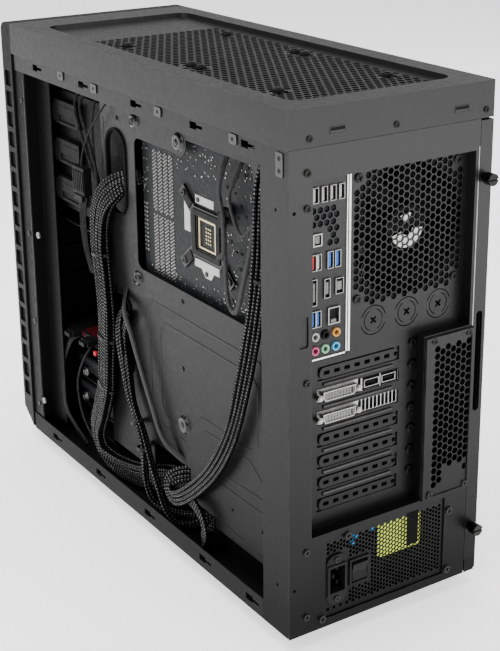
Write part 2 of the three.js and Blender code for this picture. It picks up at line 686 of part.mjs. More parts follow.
// Sleeved bundle: board connector, out of the upper hole, down the tray and round to the power supply.
const MAIN_ROUTE = [
  [70, -42, 352],
  [82, -45, 352],
  [92, -51, 346],
  [98, -63, 332],
  [98, -75, 311],
  [98, -79, 286],
  [98, -77, 264],
  [98, -74, 246],
  [98, -71, 220],
  [98, -72, 190],
  [98, -74, 160],
  [98, -78, 128],
  [98, -90, 98],
  [97, -104, 70],
  [93, -103, 46],
  [87, -84, 34],
  [82, -50, 35],
  [79, -14, 45],
  [74, 16, 55],
  [66, 46, 60],
  [56, 70, 58],
  [50, 89, 56],
];

// Processor cable: from the power supply, in a wide bow up the tray and over the board's top edge.
const CPU_ROUTE = [
  [62, 89, 84],
  [74, 70, 84],
  [88, 52, 78],
  [96, 46, 68],
  [98, 58, 60],
  [98, 84, 74],
  [98, 124, 110],
  [98, 154, 149],
  [98, 173, 187],
  [98, 187, 228],
  [98, 199, 269],
  [98, 208, 308],
  [98, 214, 346],
  [98, 217, 384],
  [97, 219, 412],
  [91, 220, 427],
  [80, 220, 432],
  [68, 219, 426],
  [62, 218, 412],
];

// Graphics cable: out of the lower hole, down past the main bundle and under the tray.
const GRAPHICS_ROUTE = [
  [70, -58, 226],
  [82, -55, 222],
  [93, -49, 210],
  [98, -42, 190],
  [98, -36, 164],
  [98, -28, 136],
  [98, -12, 112],
  [98, -1, 88],
  [98, -1, 64],
  [97, 4, 44],
  [92, 12, 30],
  [82, 30, 25],
  [66, 56, 28],
  [50, 76, 36],
  [40, 89, 46],
];

// ---- assembly -------------------------------------------------------------------------------------

const tower = new THREE.Group();

function add(name, solid, finish, x = 0, y = 0, z = 0, turnX = 0) {
  tower.add(placed(piece(name, solid, finish), x, y, z, turnX));
}

const FACE_REAR = -Math.PI / 2; // turns a part built about +Z to face +Y

add("bottom_pan", bottomPan(), BLACK_PAINT);
add("rear_panel", rearPanel(), BLACK_PAINT);
add("motherboard_tray", motherboardTray(), BLACK_PAINT);
add("tray_grommet_upper", trayGrommet([316, 404]), RUBBER);
add("tray_grommet_lower", trayGrommet([146, 238]), RUBBER);
add("front_frame", frontFrame(), BLACK_PAINT);
add("top_frame", topFrame(), BLACK_PAINT);
add("top_cover", topCover(), BLACK_PAINT);
add("top_grille", topGrille(), BLACK_PAINT);
add("slot_vent_panel", slotVentPanel(), BLACK_PAINT);
add("front_fascia", frontFascia(), BLACK_PLASTIC);
add("front_filter", frontFilter(), BLACK_PAINT);
add("left_side_panel", leftSidePanel(), BLACK_PAINT);
add("psu_filter", psuFilter(), BLACK_PLASTIC);

for (let i = 0; i < BAY_COUNT; i++) {
  const z = BAY_BOTTOM + i * BAY_PITCH;
  add(`bay_cover_${i + 1}`, bayCover(), BLACK_PLASTIC, 0, 0, z);
  add(`bay_latch_${i + 1}`, bayLatch(), BLACK_PLASTIC, 76.6, -214, z + BAY_PITCH / 2);
}

for (const [end, y] of [["front", -226], ["rear", 226]]) {
  add(`foot_${end}_left`, foot(), RUBBER, -80, y, 0);
  add(`foot_${end}_right`, foot(), RUBBER, 80, y, 0);
}

THUMBSCREWS.forEach((z, i) => {
  add(`thumbscrew_${["lower", "upper"][i]}`, thumbscrew(), BLACK_PAINT, THUMBSCREW_X, 0, z);
});

add("power_button", pushButton(POWER_BUTTON.radius), BLACK_PLASTIC, POWER_BUTTON.x, 0, BUTTON_Z);
add("reset_button", pushButton(RESET_BUTTON.radius), BLACK_PLASTIC, RESET_BUTTON.x, 0, BUTTON_Z);

add("bay_cage", bayCage(), BLACK_PAINT);
add("drive_cage", driveCage(), BLACK_PAINT);
add("solid_state_drive", solidStateDrive(), RED_PLASTIC);
TRAY_LEVELS.forEach((z, i) => {
  add(`drive_tray_${i + 1}`, driveTray(), BLACK_PLASTIC, 0, 0, z);
  add(`hard_drive_${i + 1}`, hardDrive(), ALUMINIUM, 0, 0, z);
});

add("motherboard", motherboard(), BOARD_BLACK);
add("memory_modules", memoryModules(), BOARD_BLACK);
add("cpu_backplate", cpuBackplate(), BLACK_PAINT);
add("cpu_cooler", cpuCooler(), ALUMINIUM);
const coolerMiddle = (COOLER.x[0] + COOLER.x[1]) / 2;
add("cpu_fan_rotor", fanRotor(20, 55, 18, 7), BLACK_PLASTIC, coolerMiddle, COOLER_FAN_Y - 1, CPU.z, FACE_REAR);

add("graphics_card", graphicsCard(), BOARD_BLACK);
add("graphics_bracket", graphicsBracket(), BARE_STEEL);
add("graphics_fan_rotor", fanRotor(15, 42, 12, 7), BLACK_PLASTIC, 14, 110, SLOT_TOP - SLOT_PITCH - 22);
add("io_shield", ioShield(), BARE_STEEL);
for (const slot of [1, 4, 5, 6, 7]) {
  add(`slot_cover_${slot}`, slotCover(), BLACK_PAINT, 0, 0, SLOT_TOP - (slot - 1) * SLOT_PITCH);
}

add("psu_case", psuCase(), BLACK_PAINT);
add("psu_inlet", psuInlet(), BLACK_PLASTIC);
add("psu_rocker", psuRocker(), BLACK_PLASTIC, SWITCH.x, PSU_FACE, SWITCH.z, ROCKER_TILT);
add("psu_fan_rotor", fanRotor(20, 58, 18, 7), BLACK_PLASTIC, -6, 172, PSU.bottom + 16);

const rearFanY = RECESS_INNER - GAP - FAN_DEPTH / 2;
add("rear_fan_frame", fanFrame(FAN, FAN_DEPTH, FAN_BORE), BLACK_PLASTIC, REAR_FAN.x, rearFanY, REAR_FAN.z, FACE_REAR);
add("rear_fan_rotor", fanRotor(20, 55, 17, 7), BLACK_PLASTIC, REAR_FAN.x, rearFanY + 2, REAR_FAN.z, FACE_REAR);
const frontFanY = CHASSIS_FRONT + SHEET + GAP + FAN_DEPTH / 2;
add("front_fan_frame", fanFrame(FAN, FAN_DEPTH, FAN_BORE), BLACK_PLASTIC, 0, frontFanY, FRONT_FAN_Z, -FACE_REAR);
add("front_fan_rotor", fanRotor(20, 55, 17, 7), BLACK_PLASTIC, 0, frontFanY - 2, FRONT_FAN_Z, FACE_REAR);

add("main_power_cable", cable(MAIN_ROUTE, 7, 56, 10), SLEEVE);
add("cpu_power_cable", cable(CPU_ROUTE, 4.3, 64, 8), SLEEVE);
add("graphics_power_cable", cable(GRAPHICS_ROUTE, 4.8, 52, 8), SLEEVE);

export default tower;
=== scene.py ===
"""The looks of a desktop computer tower with its right side panel off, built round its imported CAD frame.

Lengths are millimetres in the CAD's own frame: +Z up, +Y to the rear, +X to the open side.
Solid.make turns them into Blender's metres. Places come from the boxes of the CAD nodes."""

import math
import random

import bpy
from mathutils import Matrix, Vector, geometry, noise


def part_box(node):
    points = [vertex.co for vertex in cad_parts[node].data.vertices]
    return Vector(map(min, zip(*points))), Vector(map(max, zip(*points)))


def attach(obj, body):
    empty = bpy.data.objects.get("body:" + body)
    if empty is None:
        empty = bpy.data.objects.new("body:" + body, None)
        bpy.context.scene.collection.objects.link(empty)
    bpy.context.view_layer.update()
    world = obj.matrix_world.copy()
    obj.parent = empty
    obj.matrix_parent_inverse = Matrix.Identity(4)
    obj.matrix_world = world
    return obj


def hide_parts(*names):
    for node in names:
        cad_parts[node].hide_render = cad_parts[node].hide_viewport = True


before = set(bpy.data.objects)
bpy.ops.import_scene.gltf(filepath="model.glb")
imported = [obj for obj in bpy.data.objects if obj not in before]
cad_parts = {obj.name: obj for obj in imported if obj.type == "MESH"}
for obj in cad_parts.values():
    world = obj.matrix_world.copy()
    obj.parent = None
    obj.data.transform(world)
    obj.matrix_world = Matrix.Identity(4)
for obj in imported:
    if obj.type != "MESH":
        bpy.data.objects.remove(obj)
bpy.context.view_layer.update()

MM = 0.001


def low(node):
    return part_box(node)[0] / MM


def high(node):
    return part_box(node)[1] / MM


def centre(node):
    return (low(node) + high(node)) / 2


# Planes and lines that the details hang on, read from the CAD.
REAR = high("rear_panel").y
BASE = low("rear_panel").z
TOP = high("top_cover").z
SKIN = high("rear_panel").x
RIGHT = high("top_cover").x
LEFT = low("top_cover").x
FRONT = low("front_fascia").y
SKIRT = low("top_cover").z
SHEET = 1.2
TRAY_BACK = low("motherboard_tray").x
TRAY = TRAY_BACK + SHEET
WELL = high("io_shield").y - 0.6
WELL_INNER = WELL - SHEET
BOARD_BACK = high("motherboard").x
CORNER_POST = 22
SLOT_PITCH = 20.32
SLOT_TOP = centre("slot_cover_1").z
FAN = centre("rear_fan_rotor")
CPU = centre("cpu_backplate")


# ---- solids -------------------------------------------------------------------------------------


def at(axis, along, u, v):
    """A point from its distance along an axis and its two other coordinates in X, Y, Z order."""
    if axis == "x":
        return Vector((along, u, v))
    if axis == "y":
        return Vector((u, along, v))
    return Vector((u, v, along))


def rect(u, v):
    return [(u[0], v[0]), (u[1], v[0]), (u[1], v[1]), (u[0], v[1])]


def arc(centre_point, radius, start, end, steps):
    """Points on a circle from one angle to another, in degrees."""
    angles = [math.radians(start + (end - start) * i / steps) for i in range(steps + 1)]
    return [(centre_point[0] + radius * math.cos(a), centre_point[1] + radius * math.sin(a)) for a in angles]


def disc(u, v, radius, sides=16, turn=0.0):
    return arc((u, v), radius, turn, turn + 360, sides)[:-1]


def rounded(u, v, radius, steps=4):
    corners = [(u[1], v[0], -90), (u[1], v[1], 0), (u[0], v[1], 90), (u[0], v[0], 180)]
    outline = []
    for cu, cv, start in corners:
        inner_u = cu - radius if cu == u[1] else cu + radius
        inner_v = cv - radius if cv == v[1] else cv + radius
        outline += arc((inner_u, inner_v), radius, start, start + 90, steps)
    return outline


def ring_slot(u, v, radius, width, start, end, steps=10):
    """A slot that follows part of a circle."""
    outer = arc((u, v), radius + width / 2, start, end, steps)
    inner = arc((u, v), radius - width / 2, end, start, steps)
    return outer + inner


def cross(u, v, arm, half_width, turn=0.0):
    """The outline of a plus sign, turned by some degrees."""
    a, w = arm, half_width
    corners = [(a, -w), (a, w), (w, w), (w, a), (-w, a), (-w, w), (-a, w), (-a, -w), (-w, -w), (-w, -a), (w, -a), (w, -w)]
    c, s = math.cos(math.radians(turn)), math.sin(math.radians(turn))
    return [(u + p * c - q * s, v + p * s + q * c) for p, q in corners]


def shrink(outline, by):
    """A counter-clockwise outline moved inward."""
    moved = []
    n = len(outline)
    for i in range(n):
        before, here, after = Vector(outline[i - 1]), Vector(outline[i]), Vector(outline[(i + 1) % n])
        along, onward = (here - before).normalized(), (after - here).normalized()
        first, second = Vector((-along.y, along.x)), Vector((-onward.y, onward.x))
        moved.append(tuple(here + (first + second) * by / (1 + first.dot(second))))
    return moved


def around(middle, half):
    return (middle - half, middle + half)


def inset(span, by):
    return (span[0] + by, span[1] - by)


def hex_field(pitch, size, u, v, keep=None, columns=True):
    """Hexagonal holes on a honeycomb between two limits on each axis. size is the width over the flats."""
    step, rise = pitch * math.sqrt(3) / 2, pitch
    radius = size / math.sqrt(3)
    a, b = (u, v) if columns else (v, u)
    holes = []
    count_a = int((a[1] - a[0] - size) / step) + 1
    count_b = int((b[1] - b[0] - size) / rise) + 1
    start_a = (a[0] + a[1] - (count_a - 1) * step) / 2
    start_b = (b[0] + b[1] - (count_b - 1) * rise) / 2
    for i in range(count_a):
        for j in range(count_b + (i % 2)):
            p = start_a + i * step
            q = start_b + j * rise - (rise / 2 if i % 2 else 0)
            if not b[0] + size / 2 <= q <= b[1] - size / 2:
                continue
            cu, cv = (p, q) if columns else (q, p)
            if keep is None or keep(cu, cv):
                holes.append(disc(cu, cv, radius, 6, 0 if columns else 30))
    return holes


class Solid:
    """Closed shapes in millimetres, gathered into one Blender mesh."""

    def __init__(self):
        self.points = []
        self.faces = []
        self.uv = []

    def add(self, points, faces, uv=None):
        start = len(self.points)
        self.points += points
        self.faces += [[start + i for i in face] for face in faces]
        self.uv += uv or [None] * len(faces)
        return self

    def block(self, x, y, z):
        points = [Vector((i, j, k)) for i in x for j in y for k in z]
        faces = [(0, 1, 3, 2), (4, 6, 7, 5), (0, 4, 5, 1), (2, 3, 7, 6), (0, 2, 6, 4), (1, 5, 7, 3)]
        return self.add(points, faces)

    def prism(self, axis, span, outline):
        """An outline without holes, swept between two limits on an axis."""
        n = len(outline)
        points = [at(axis, level, u, v) for level in span for u, v in outline]
        back = list(range(n))[::-1]
        front = list(range(n, 2 * n))
        walls = [[i, (i + 1) % n, n + (i + 1) % n, n + i] for i in range(n)]
        faces = [back, front, *walls]
        area = sum(a[0] * b[1] - b[0] * a[1] for a, b in zip(outline, outline[1:] + outline[:1]))
        if (area < 0) != (axis == "y"):
            faces = [face[::-1] for face in faces]
        return self.add(points, faces)

    def rod(self, axis, span, u, v, radius, sides=20):
        return self.prism(axis, span, disc(u, v, radius, sides))

    def plate(self, axis, span, outline, holes):
        """A flat plate with holes, triangulated on both faces and walled round every edge."""
        loops = [outline, *holes]
        flat, rings = [], []
        for loop in loops:
            rings.append(list(range(len(flat), len(flat) + len(loop))))
            flat += [Vector(p) for p in loop]
        found = geometry.delaunay_2d_cdt(flat, [], rings, 1, 1e-5, True)
        spots, triangles, owners = found[0], found[2], found[5]
        kept = [list(t) for t, owner in zip(triangles, owners) if set(owner) == {0}]
        n = len(spots)
        points = [at(axis, level, p.x, p.y) for level in span for p in spots]
        used = {}
        for t in kept:
            for i in range(3):
                used[(t[i], t[(i + 1) % 3])] = True
        faces = [t[::-1] for t in kept] + [[i + n for i in t] for t in kept]
        faces += [[a, b, b + n, a + n] for a, b in used if (b, a) not in used]
        if axis == "y":
            faces = [face[::-1] for face in faces]
        return self.add(points, faces)

    def lathe(self, axis, foot, profile, sides=20):
        """A profile of (radius, distance along the axis) turned about the axis through a point."""
        points, faces = [], []
        for radius, level in profile:
            for u, v in disc(0, 0, radius, sides):
                points.append(Vector(foot) + at(axis, level, u, v))
        rows = len(profile)
        for j in range(rows - 1):
            for i in range(sides):
                k = (i + 1) % sides
                faces.append([j * sides + i, j * sides + k, (j + 1) * sides + k, (j + 1) * sides + i])
        faces.append(list(range(sides))[::-1])
        faces.append([(rows - 1) * sides + i for i in range(sides)])
        if axis == "y":
            faces = [face[::-1] for face in faces]
        return self.add(points, faces)

    def tube(self, path, radius, sides=8, flat=1.0, closed=False):
        """A round or flattened tube along a path. Its UV map runs round it as on a 2 mm tube, and along it."""
        frames = route_frames(path, closed)
        points, faces, uv = [], [], []
        length, lengths = 0.0, []
        for i, p in enumerate(path):
            if i:
                length += (p - path[i - 1]).length
            lengths.append(length)
        for p, (side, out) in zip(path, frames):
            for a in range(sides):
                angle = 2 * math.pi * a / sides
                points.append(p + side * radius * math.cos(angle) + out * radius * flat * math.sin(angle))
        rows = len(path)
        wrap = 4 * math.pi
        for j in range(rows if closed else rows - 1):
            k = (j + 1) % rows
            for i in range(sides):
                n = (i + 1) % sides
                faces.append([j * sides + i, j * sides + n, k * sides + n, k * sides + i])
                u0, u1 = i / sides * wrap, (i + 1) / sides * wrap
                v0, v1 = lengths[j], lengths[k] if k else length
                uv.append([(u0, v0), (u1, v0), (u1, v1), (u0, v1)])
        if not closed:
            faces += [list(range(sides))[::-1], [(rows - 1) * sides + i for i in range(sides)]]
            uv += [None, None]
        return self.add(points, faces, uv)

    def make(self, name, material, body="chassis", slot=None, bevel=0.0, angle=35, replaces=()):
        mesh = bpy.data.meshes.new(name)
        mesh.from_pydata([p * MM for p in self.points], [], self.faces)
        layer = mesh.uv_layers.new(name="UVMap")
        for polygon, corners in zip(mesh.polygons, self.uv):
            for k, loop in enumerate(polygon.loop_indices):
                layer.data[loop].uv = corners[k] if corners else (0.0, 0.0)
        mesh.polygons.foreach_set("use_smooth", [True] * len(mesh.polygons))
        mesh.set_sharp_from_angle(angle=math.radians(angle))
        mesh.validate()
        piece = bpy.data.objects.new(name, mesh)
        bpy.context.scene.collection.objects.link(piece)
        mesh.materials.append(material)
        if bevel:
            soften(piece, bevel)
        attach(piece, body)
        if replaces:
            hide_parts(*replaces)
        return piece


def soften(piece, width):
    bevel = piece.modifiers.new("soft_edges", "BEVEL")
    bevel.width = width * MM
    bevel.segments = 2
    bevel.limit_method = "ANGLE"
    bevel.angle_limit = math.radians(40)
    bevel.harden_normals = True


# ---- routes -------------------------------------------------------------------------------------


def smooth_route(points, step=4.0):
    """Points close together on a smooth curve through the given ones."""
    points = [Vector(p) for p in points]
    ends = [2 * points[0] - points[1], *points, 2 * points[-1] - points[-2]]
    path = []
    for p0, p1, p2, p3 in zip(ends, ends[1:], ends[2:], ends[3:]):
        pieces = max(1, round((p2 - p1).length / step))
        for i in range(pieces):
            t = i / pieces
            a = 2 * p1
            b = (p2 - p0) * t
            c = (2 * p0 - 5 * p1 + 4 * p2 - p3) * t * t
            d = (3 * p1 - p0 - 3 * p2 + p3) * t * t * t
            path.append((a + b + c + d) / 2)
    path.append(points[-1])
    return path


def route_frames(path, closed=False):
    """For each point of a path, a direction across it in the plane of the tray, and one out of that plane."""
    n = len(path)
    tangents = []
    for i in range(n):
        before = path[i - 1] if i or closed else path[0]
        after = path[(i + 1) % n] if i < n - 1 or closed else path[-1]
        tangents.append((after - before).normalized())
    sides = [t.cross(Vector((1, 0, 0))) for t in tangents]
    good = [i for i in range(n) if sides[i].length > 0.35]
    frames = []
    for i, t in enumerate(tangents):
        side = sides[i]
        if side.length <= 0.35:
            if good:
                side = sides[min(good, key=lambda g: abs(g - i))]
            else:
                side = t.cross(Vector((0, 0, 1)))
        side = (side - t * side.dot(t)).normalized()
        frames.append((side, t.cross(side)))
    return frames


# ---- materials ----------------------------------------------------------------------------------


class Surface:
    """A Principled material whose colour, roughness and bump come from nodes."""

    def __init__(self, name, roughness=0.5, metallic=0.0, specular=0.5):
        self.material = bpy.data.materials.new(name)
        self.material.use_nodes = True
        self.tree = self.material.node_tree
        self.shader = self.tree.nodes["Principled BSDF"]
        self.shader.inputs["Roughness"].default_value = roughness
        self.shader.inputs["Metallic"].default_value = metallic
        self.shader.inputs["Specular IOR Level"].default_value = specular
        self.place = self.node("ShaderNodeTexCoord").outputs["Object"]

    def node(self, kind, **settings):
        made = self.tree.nodes.new(kind)
        for key, value in settings.items():
            setattr(made, key, value)
        return made

    def feed(self, socket, value):
        if isinstance(value, bpy.types.NodeSocket):
            self.tree.links.new(value, socket)
        else:
            socket.default_value = value

    def noise(self, scale, detail=2.0, stretch=None):
        made = self.node("ShaderNodeTexNoise")
        made.inputs["Scale"].default_value = scale
        made.inputs["Detail"].default_value = detail
        place = self.place
        if stretch:
            mapping = self.node("ShaderNodeMapping")
            mapping.inputs["Scale"].default_value = stretch
            self.feed(mapping.inputs["Vector"], place)
            place = mapping.outputs["Vector"]
        self.feed(made.inputs["Vector"], place)
        return made.outputs["Fac"]

    def cells(self, scale):
        made = self.node("ShaderNodeTexVoronoi")
        made.inputs["Scale"].default_value = scale
        self.feed(made.inputs["Vector"], self.place)
        return made.outputs["Distance"]

    def spread(self, value, low_in, high_in, low_out, high_out):
        made = self.node("ShaderNodeMapRange")
        self.feed(made.inputs["Value"], value)
        for key, number in (("From Min", low_in), ("From Max", high_in), ("To Min", low_out), ("To Max", high_out)):
            made.inputs[key].default_value = number
        return made.outputs["Result"]

    def maths(self, operation, a, b=0.0):
        made = self.node("ShaderNodeMath", operation=operation)
        self.feed(made.inputs[0], a)
        self.feed(made.inputs[1], b)
        return made.outputs[0]

    def blend(self, factor, a, b):
        made = self.node("ShaderNodeMix", data_type="RGBA")
        self.feed(made.inputs["Factor"], factor)
        self.feed(made.inputs[6], a)
        self.feed(made.inputs[7], b)
        return made.outputs[2]

    def edges(self, radius):
        """Near 1 on edges sharper than the given rounding, in millimetres."""
        bevel = self.node("ShaderNodeBevel", samples=3)
        bevel.inputs["Radius"].default_value = radius * MM
        flat = self.node("ShaderNodeNewGeometry").outputs["Normal"]
        dot = self.node("ShaderNodeVectorMath", operation="DOT_PRODUCT")
        self.feed(dot.inputs[0], bevel.outputs["Normal"])
        self.feed(dot.inputs[1], flat)
        return self.spread(dot.outputs["Value"], 0.99, 0.8, 0.0, 1.0)

    def colour(self, value):
        self.feed(self.shader.inputs["Base Color"], value)

    def rough(self, value):
        self.feed(self.shader.inputs["Roughness"], value)

    def bump(self, height, depth, strength=1.0):
        made = self.node("ShaderNodeBump")
        made.inputs["Strength"].default_value = strength
        made.inputs["Distance"].default_value = depth * MM
        self.feed(made.inputs["Height"], height)
        self.feed(self.shader.inputs["Normal"], made.outputs["Normal"])


def grey(value, tint=(1.0, 1.0, 1.0)):
    return (value * tint[0], value * tint[1], value * tint[2], 1.0)


def powder_coat(name, shade, tint=(1, 1, 1), roughness=0.46, edge_lightening=0.5, painted_sheen=0.0, gloss=(0.025, 0.18), rear=2.6):
    """Black paint with a fine speckle and lighter edges, partly worn where it has thinned and partly a painted
    highlight; its upper part is paler, a painted sheen.

    gloss is its reflection level near the floor and near the top, and rear multiplies it on faces that look back: both
    are painted reflection, set by place rather than by the paint."""
    s = Surface(name, roughness)
    speckle = s.noise(1800, 2)
    cloud = s.noise(14, 3)
    base = s.blend(s.spread(cloud, 0.3, 0.7, 0, 1), grey(shade * 0.85, tint), grey(shade * 1.15, tint))
    grain = s.blend(s.spread(speckle, 0.52, 0.72, 0, 0.35), base, grey(shade * 1.9, tint))
    # Lighter edges: partly worn paint, partly a painted highlight along every sharp edge.
    edge = s.maths("MULTIPLY", s.edges(0.7), s.spread(s.noise(90, 3), 0.35, 0.65, 0.1 * edge_lightening, edge_lightening))
    worn = s.blend(edge, grain, grey(min(0.5, shade * 4 + 0.07), tint))
    height = s.node("ShaderNodeSeparateXYZ")
    s.feed(height.inputs[0], s.place)
    # Painted sheen: the colour turns paler towards the top, by height alone.
    s.colour(s.blend(s.spread(height.outputs[2], 0.28, 0.46, 0, painted_sheen), worn, grey(shade * 3.5, tint)))
    facing = s.node("ShaderNodeSeparateXYZ")
    s.feed(facing.inputs[0], s.node("ShaderNodeNewGeometry").outputs["Normal"])
    # Painted reflection: more reflection higher up and on faces turned to the rear.
    level = s.spread(height.outputs[2], 0.03, 0.42, *gloss)
    back = s.spread(facing.outputs[1], 0.3, 1.0, 1.0, rear)
    s.feed(s.shader.inputs["Specular IOR Level"], s.maths("MULTIPLY", level, back))
    s.rough(s.spread(s.noise(220, 3), 0.3, 0.7, roughness - 0.06, roughness + 0.08))
    s.bump(speckle, 0.05, 0.5)
    return s.material


def moulded(name, rgb, roughness=0.5, texture=1400, edge_lightening=0.3):
    """Moulded plastic with a fine spark texture and rubbed edges."""
    s = Surface(name, roughness, specular=0.12)
    spark = s.noise(texture, 2)
    colour = (*rgb, 1.0)
    light = (*[min(1.0, c * 1.7 + 0.02) for c in rgb], 1.0)
    dark = (*[c * 0.75 for c in rgb], 1.0)
    base = s.blend(s.spread(s.noise(30, 3), 0.3, 0.7, 0, 1), dark, colour)
    s.colour(s.blend(s.maths("MULTIPLY", s.edges(0.5), edge_lightening), base, light))
    s.rough(s.spread(s.noise(160, 2), 0.3, 0.7, roughness - 0.05, roughness + 0.08))
    s.bump(spark, 0.03, 0.5)
    return s.material


def rubber_skin(name):
    s = Surface(name, 0.75, specular=0.06)
    fine = s.noise(900, 3)
    s.colour(s.blend(s.spread(s.noise(60, 3), 0.35, 0.7, 0, 1), grey(0.003), grey(0.006)))
    s.rough(s.spread(fine, 0.3, 0.7, 0.65, 0.85))
    s.bump(fine, 0.05, 0.5)
    return s.material


def plated(name, shade=0.62, tint=(1, 0.99, 0.96), roughness=0.28, brushed=(1, 1, 30)):
    """Bright plated or brushed metal with streaks and darker spots."""
    s = Surface(name, roughness, metallic=1.0)
    streak = s.noise(260, 3, brushed)
    tarnish = s.spread(s.noise(120, 4), 0.5, 0.75, 0, 0.5)
    base = s.blend(streak, grey(shade * 0.8, tint), grey(min(1, shade * 1.15), tint))
    s.colour(s.blend(tarnish, base, grey(shade * 0.5, tint)))
    s.rough(s.spread(streak, 0.3, 0.7, roughness - 0.08, roughness + 0.14))
    s.bump(streak, 0.02, 0.3)
    return s.material


def circuit_board(name):
    """Black solder mask with faint traces and a scatter of tinned spots."""
    s = Surface(name, 0.5, specular=0.09)
    wave = s.node("ShaderNodeTexWave", bands_direction="DIAGONAL")
    wave.inputs["Scale"].default_value = 55
    wave.inputs["Distortion"].default_value = 9
    wave.inputs["Detail"].default_value = 1
    s.feed(wave.inputs["Vector"], s.place)
    traces = s.spread(wave.outputs["Fac"], 0.45, 0.55, 0, 0.6)
    mask = s.blend(traces, grey(0.01, (0.9, 1, 1.05)), grey(0.018, (0.9, 1, 1.05)))
    mottled = s.spread(s.cells(420), 0.13, 0.06, 0, 1)
    patch = s.spread(s.noise(34, 3), 0.5, 0.6, 0, 1)
    dots = s.maths("MULTIPLY", mottled, patch)
    s.colour(s.blend(dots, mask, grey(0.45)))
    s.rough(s.spread(s.noise(300, 2), 0.3, 0.7, 0.34, 0.5))
    s.bump(wave.outputs["Fac"], 0.03, 0.5)
    return s.material


def braid(name):
    """Braided nylon sleeve: crossing strands from the tube's own UV map, with a painted highlight on the side facing
    away from the tray.
    """
    s = Surface(name, 0.55, specular=0.2)
    uv = s.node("ShaderNodeSeparateXYZ")
    s.feed(uv.inputs[0], s.node("ShaderNodeUVMap", uv_map="UVMap").outputs["UV"])
    along = s.maths("MULTIPLY", uv.outputs[1], 0.45)
    one = s.maths("SINE", s.maths("MULTIPLY", s.maths("ADD", uv.outputs[0], along), 2.0))
    two = s.maths("SINE", s.maths("MULTIPLY", s.maths("SUBTRACT", uv.outputs[0], along), 2.0))
    weave = s.maths("MULTIPLY", one, two)
    lift = s.spread(weave, 0.35, 0.85, 0, 1)
    # Painted highlight: the light strand crossings and random painted glints show only on the side of each tube facing
    # away from the tray, and the reflection level follows that side.
    painted_glint = s.spread(s.noise(500, 1), 0.35, 0.65, 0.3, 1.0)
    painted_highlight_side = s.spread(s.maths("SINE", s.maths("MULTIPLY", uv.outputs[0], 0.5)), -0.35, -0.95, 0.0, 1.0)
    bright = s.maths("MULTIPLY", s.maths("MULTIPLY", lift, painted_glint), painted_highlight_side)
    s.colour(s.blend(bright, grey(0.002), grey(0.3)))
    s.feed(s.shader.inputs["Specular IOR Level"], s.spread(painted_highlight_side, 0, 1, 0.01, 0.09))
    s.rough(s.spread(weave, -1, 1, 0.75, 0.4))
    s.bump(weave, 0.35, 0.8)
    return s.material


def cable_skin(name, rgb=(0.005, 0.005, 0.005)):
    """Smooth flexible sheath with faint scuffs along it."""
    s = Surface(name, 0.42, specular=0.12)
    scuff = s.noise(240, 3)
    dark = (*rgb, 1.0)
    light = (*[min(1.0, c * 1.8 + 0.01) for c in rgb], 1.0)
    s.colour(s.blend(s.spread(scuff, 0.4, 0.7, 0, 1), dark, light))
    s.rough(s.spread(scuff, 0.3, 0.7, 0.34, 0.55))
    s.bump(s.noise(700, 2), 0.03, 0.4)
    return s.material


def painted_glow(name, rgb, strength):
    """A surface seen through a grille, with a painted glow: it gives off light though it is no lamp."""
    s = Surface(name, 0.5)
    spot = s.spread(s.noise(160, 3), 0.3, 0.7, 0, 1)
    lit = s.blend(spot, (*[c * 0.7 for c in rgb], 1.0), (*rgb, 1.0))
    s.colour(lit)
    s.feed(s.shader.inputs["Emission Color"], lit)
    s.shader.inputs["Emission Strength"].default_value = strength
    s.rough(s.spread(spot, 0, 1, 0.4, 0.6))
    return s.material


def sticker(name, rgb, roughness=0.35, specular=0.3):
    """Printed film, slightly uneven, with a soft gloss."""
    s = Surface(name, roughness, specular=specular)
    fibre = s.noise(600, 3)
    worn = (*[c * 0.8 for c in rgb], 1.0)
    s.colour(s.blend(s.spread(fibre, 0.3, 0.7, 0, 1), worn, (*rgb, 1.0)))
    s.rough(s.spread(s.noise(90, 3), 0.3, 0.7, roughness - 0.08, roughness + 0.12))
    s.bump(fibre, 0.02, 0.3)
    return s.material


PAINT = powder_coat("paint_black", 0.007, roughness=0.33)
# A lighter copy of the black paint for the top cover and grille: painted light, for the light falling on the top.
PAINT_TOP_PAINTED_LIGHT = powder_coat("paint_cover_painted_light", 0.012, roughness=0.32, rear=2.2)
# A darker, greenish copy of the black paint for the rear, paler towards its top: painted shade with a painted sheen.
PAINT_REAR_SHADE_AND_SHEEN = powder_coat("paint_rear_shade_and_sheen", 0.004, (0.93, 1.0, 0.95), roughness=0.36, painted_sheen=0.6)
# A near-black copy of the black paint for parts deep inside the case: painted shade.
PAINT_INNER_PAINTED_SHADE = powder_coat("paint_inner_painted_shade", 0.002, roughness=0.5, gloss=(0.12, 0.12), rear=1.0)
PAINT_GLOSS = powder_coat("paint_gloss", 0.004, roughness=0.15, gloss=(0.2, 0.5), rear=1.0)
PLASTIC = moulded("plastic_black", (0.006, 0.006, 0.0063))
PLASTIC_DARK = moulded("plastic_deep_black", (0.002, 0.002, 0.002), 0.55)
RUBBER = rubber_skin("rubber_black")
NICKEL = plated("metal_nickel", 0.36, roughness=0.3)
SCREW_BLACK = plated("metal_black_screw", 0.03, roughness=0.22)
BRIGHT = plated("metal_bright", 0.85, roughness=0.2)
ALUMINIUM = plated("metal_aluminium", 0.45, roughness=0.38)
# The well's pressed ribs are painted steel; this dark metal gives them a painted highlight along their crests.
RIB_PAINTED_HIGHLIGHT = plated("rib_metal_painted_highlight", 0.06, roughness=0.35)
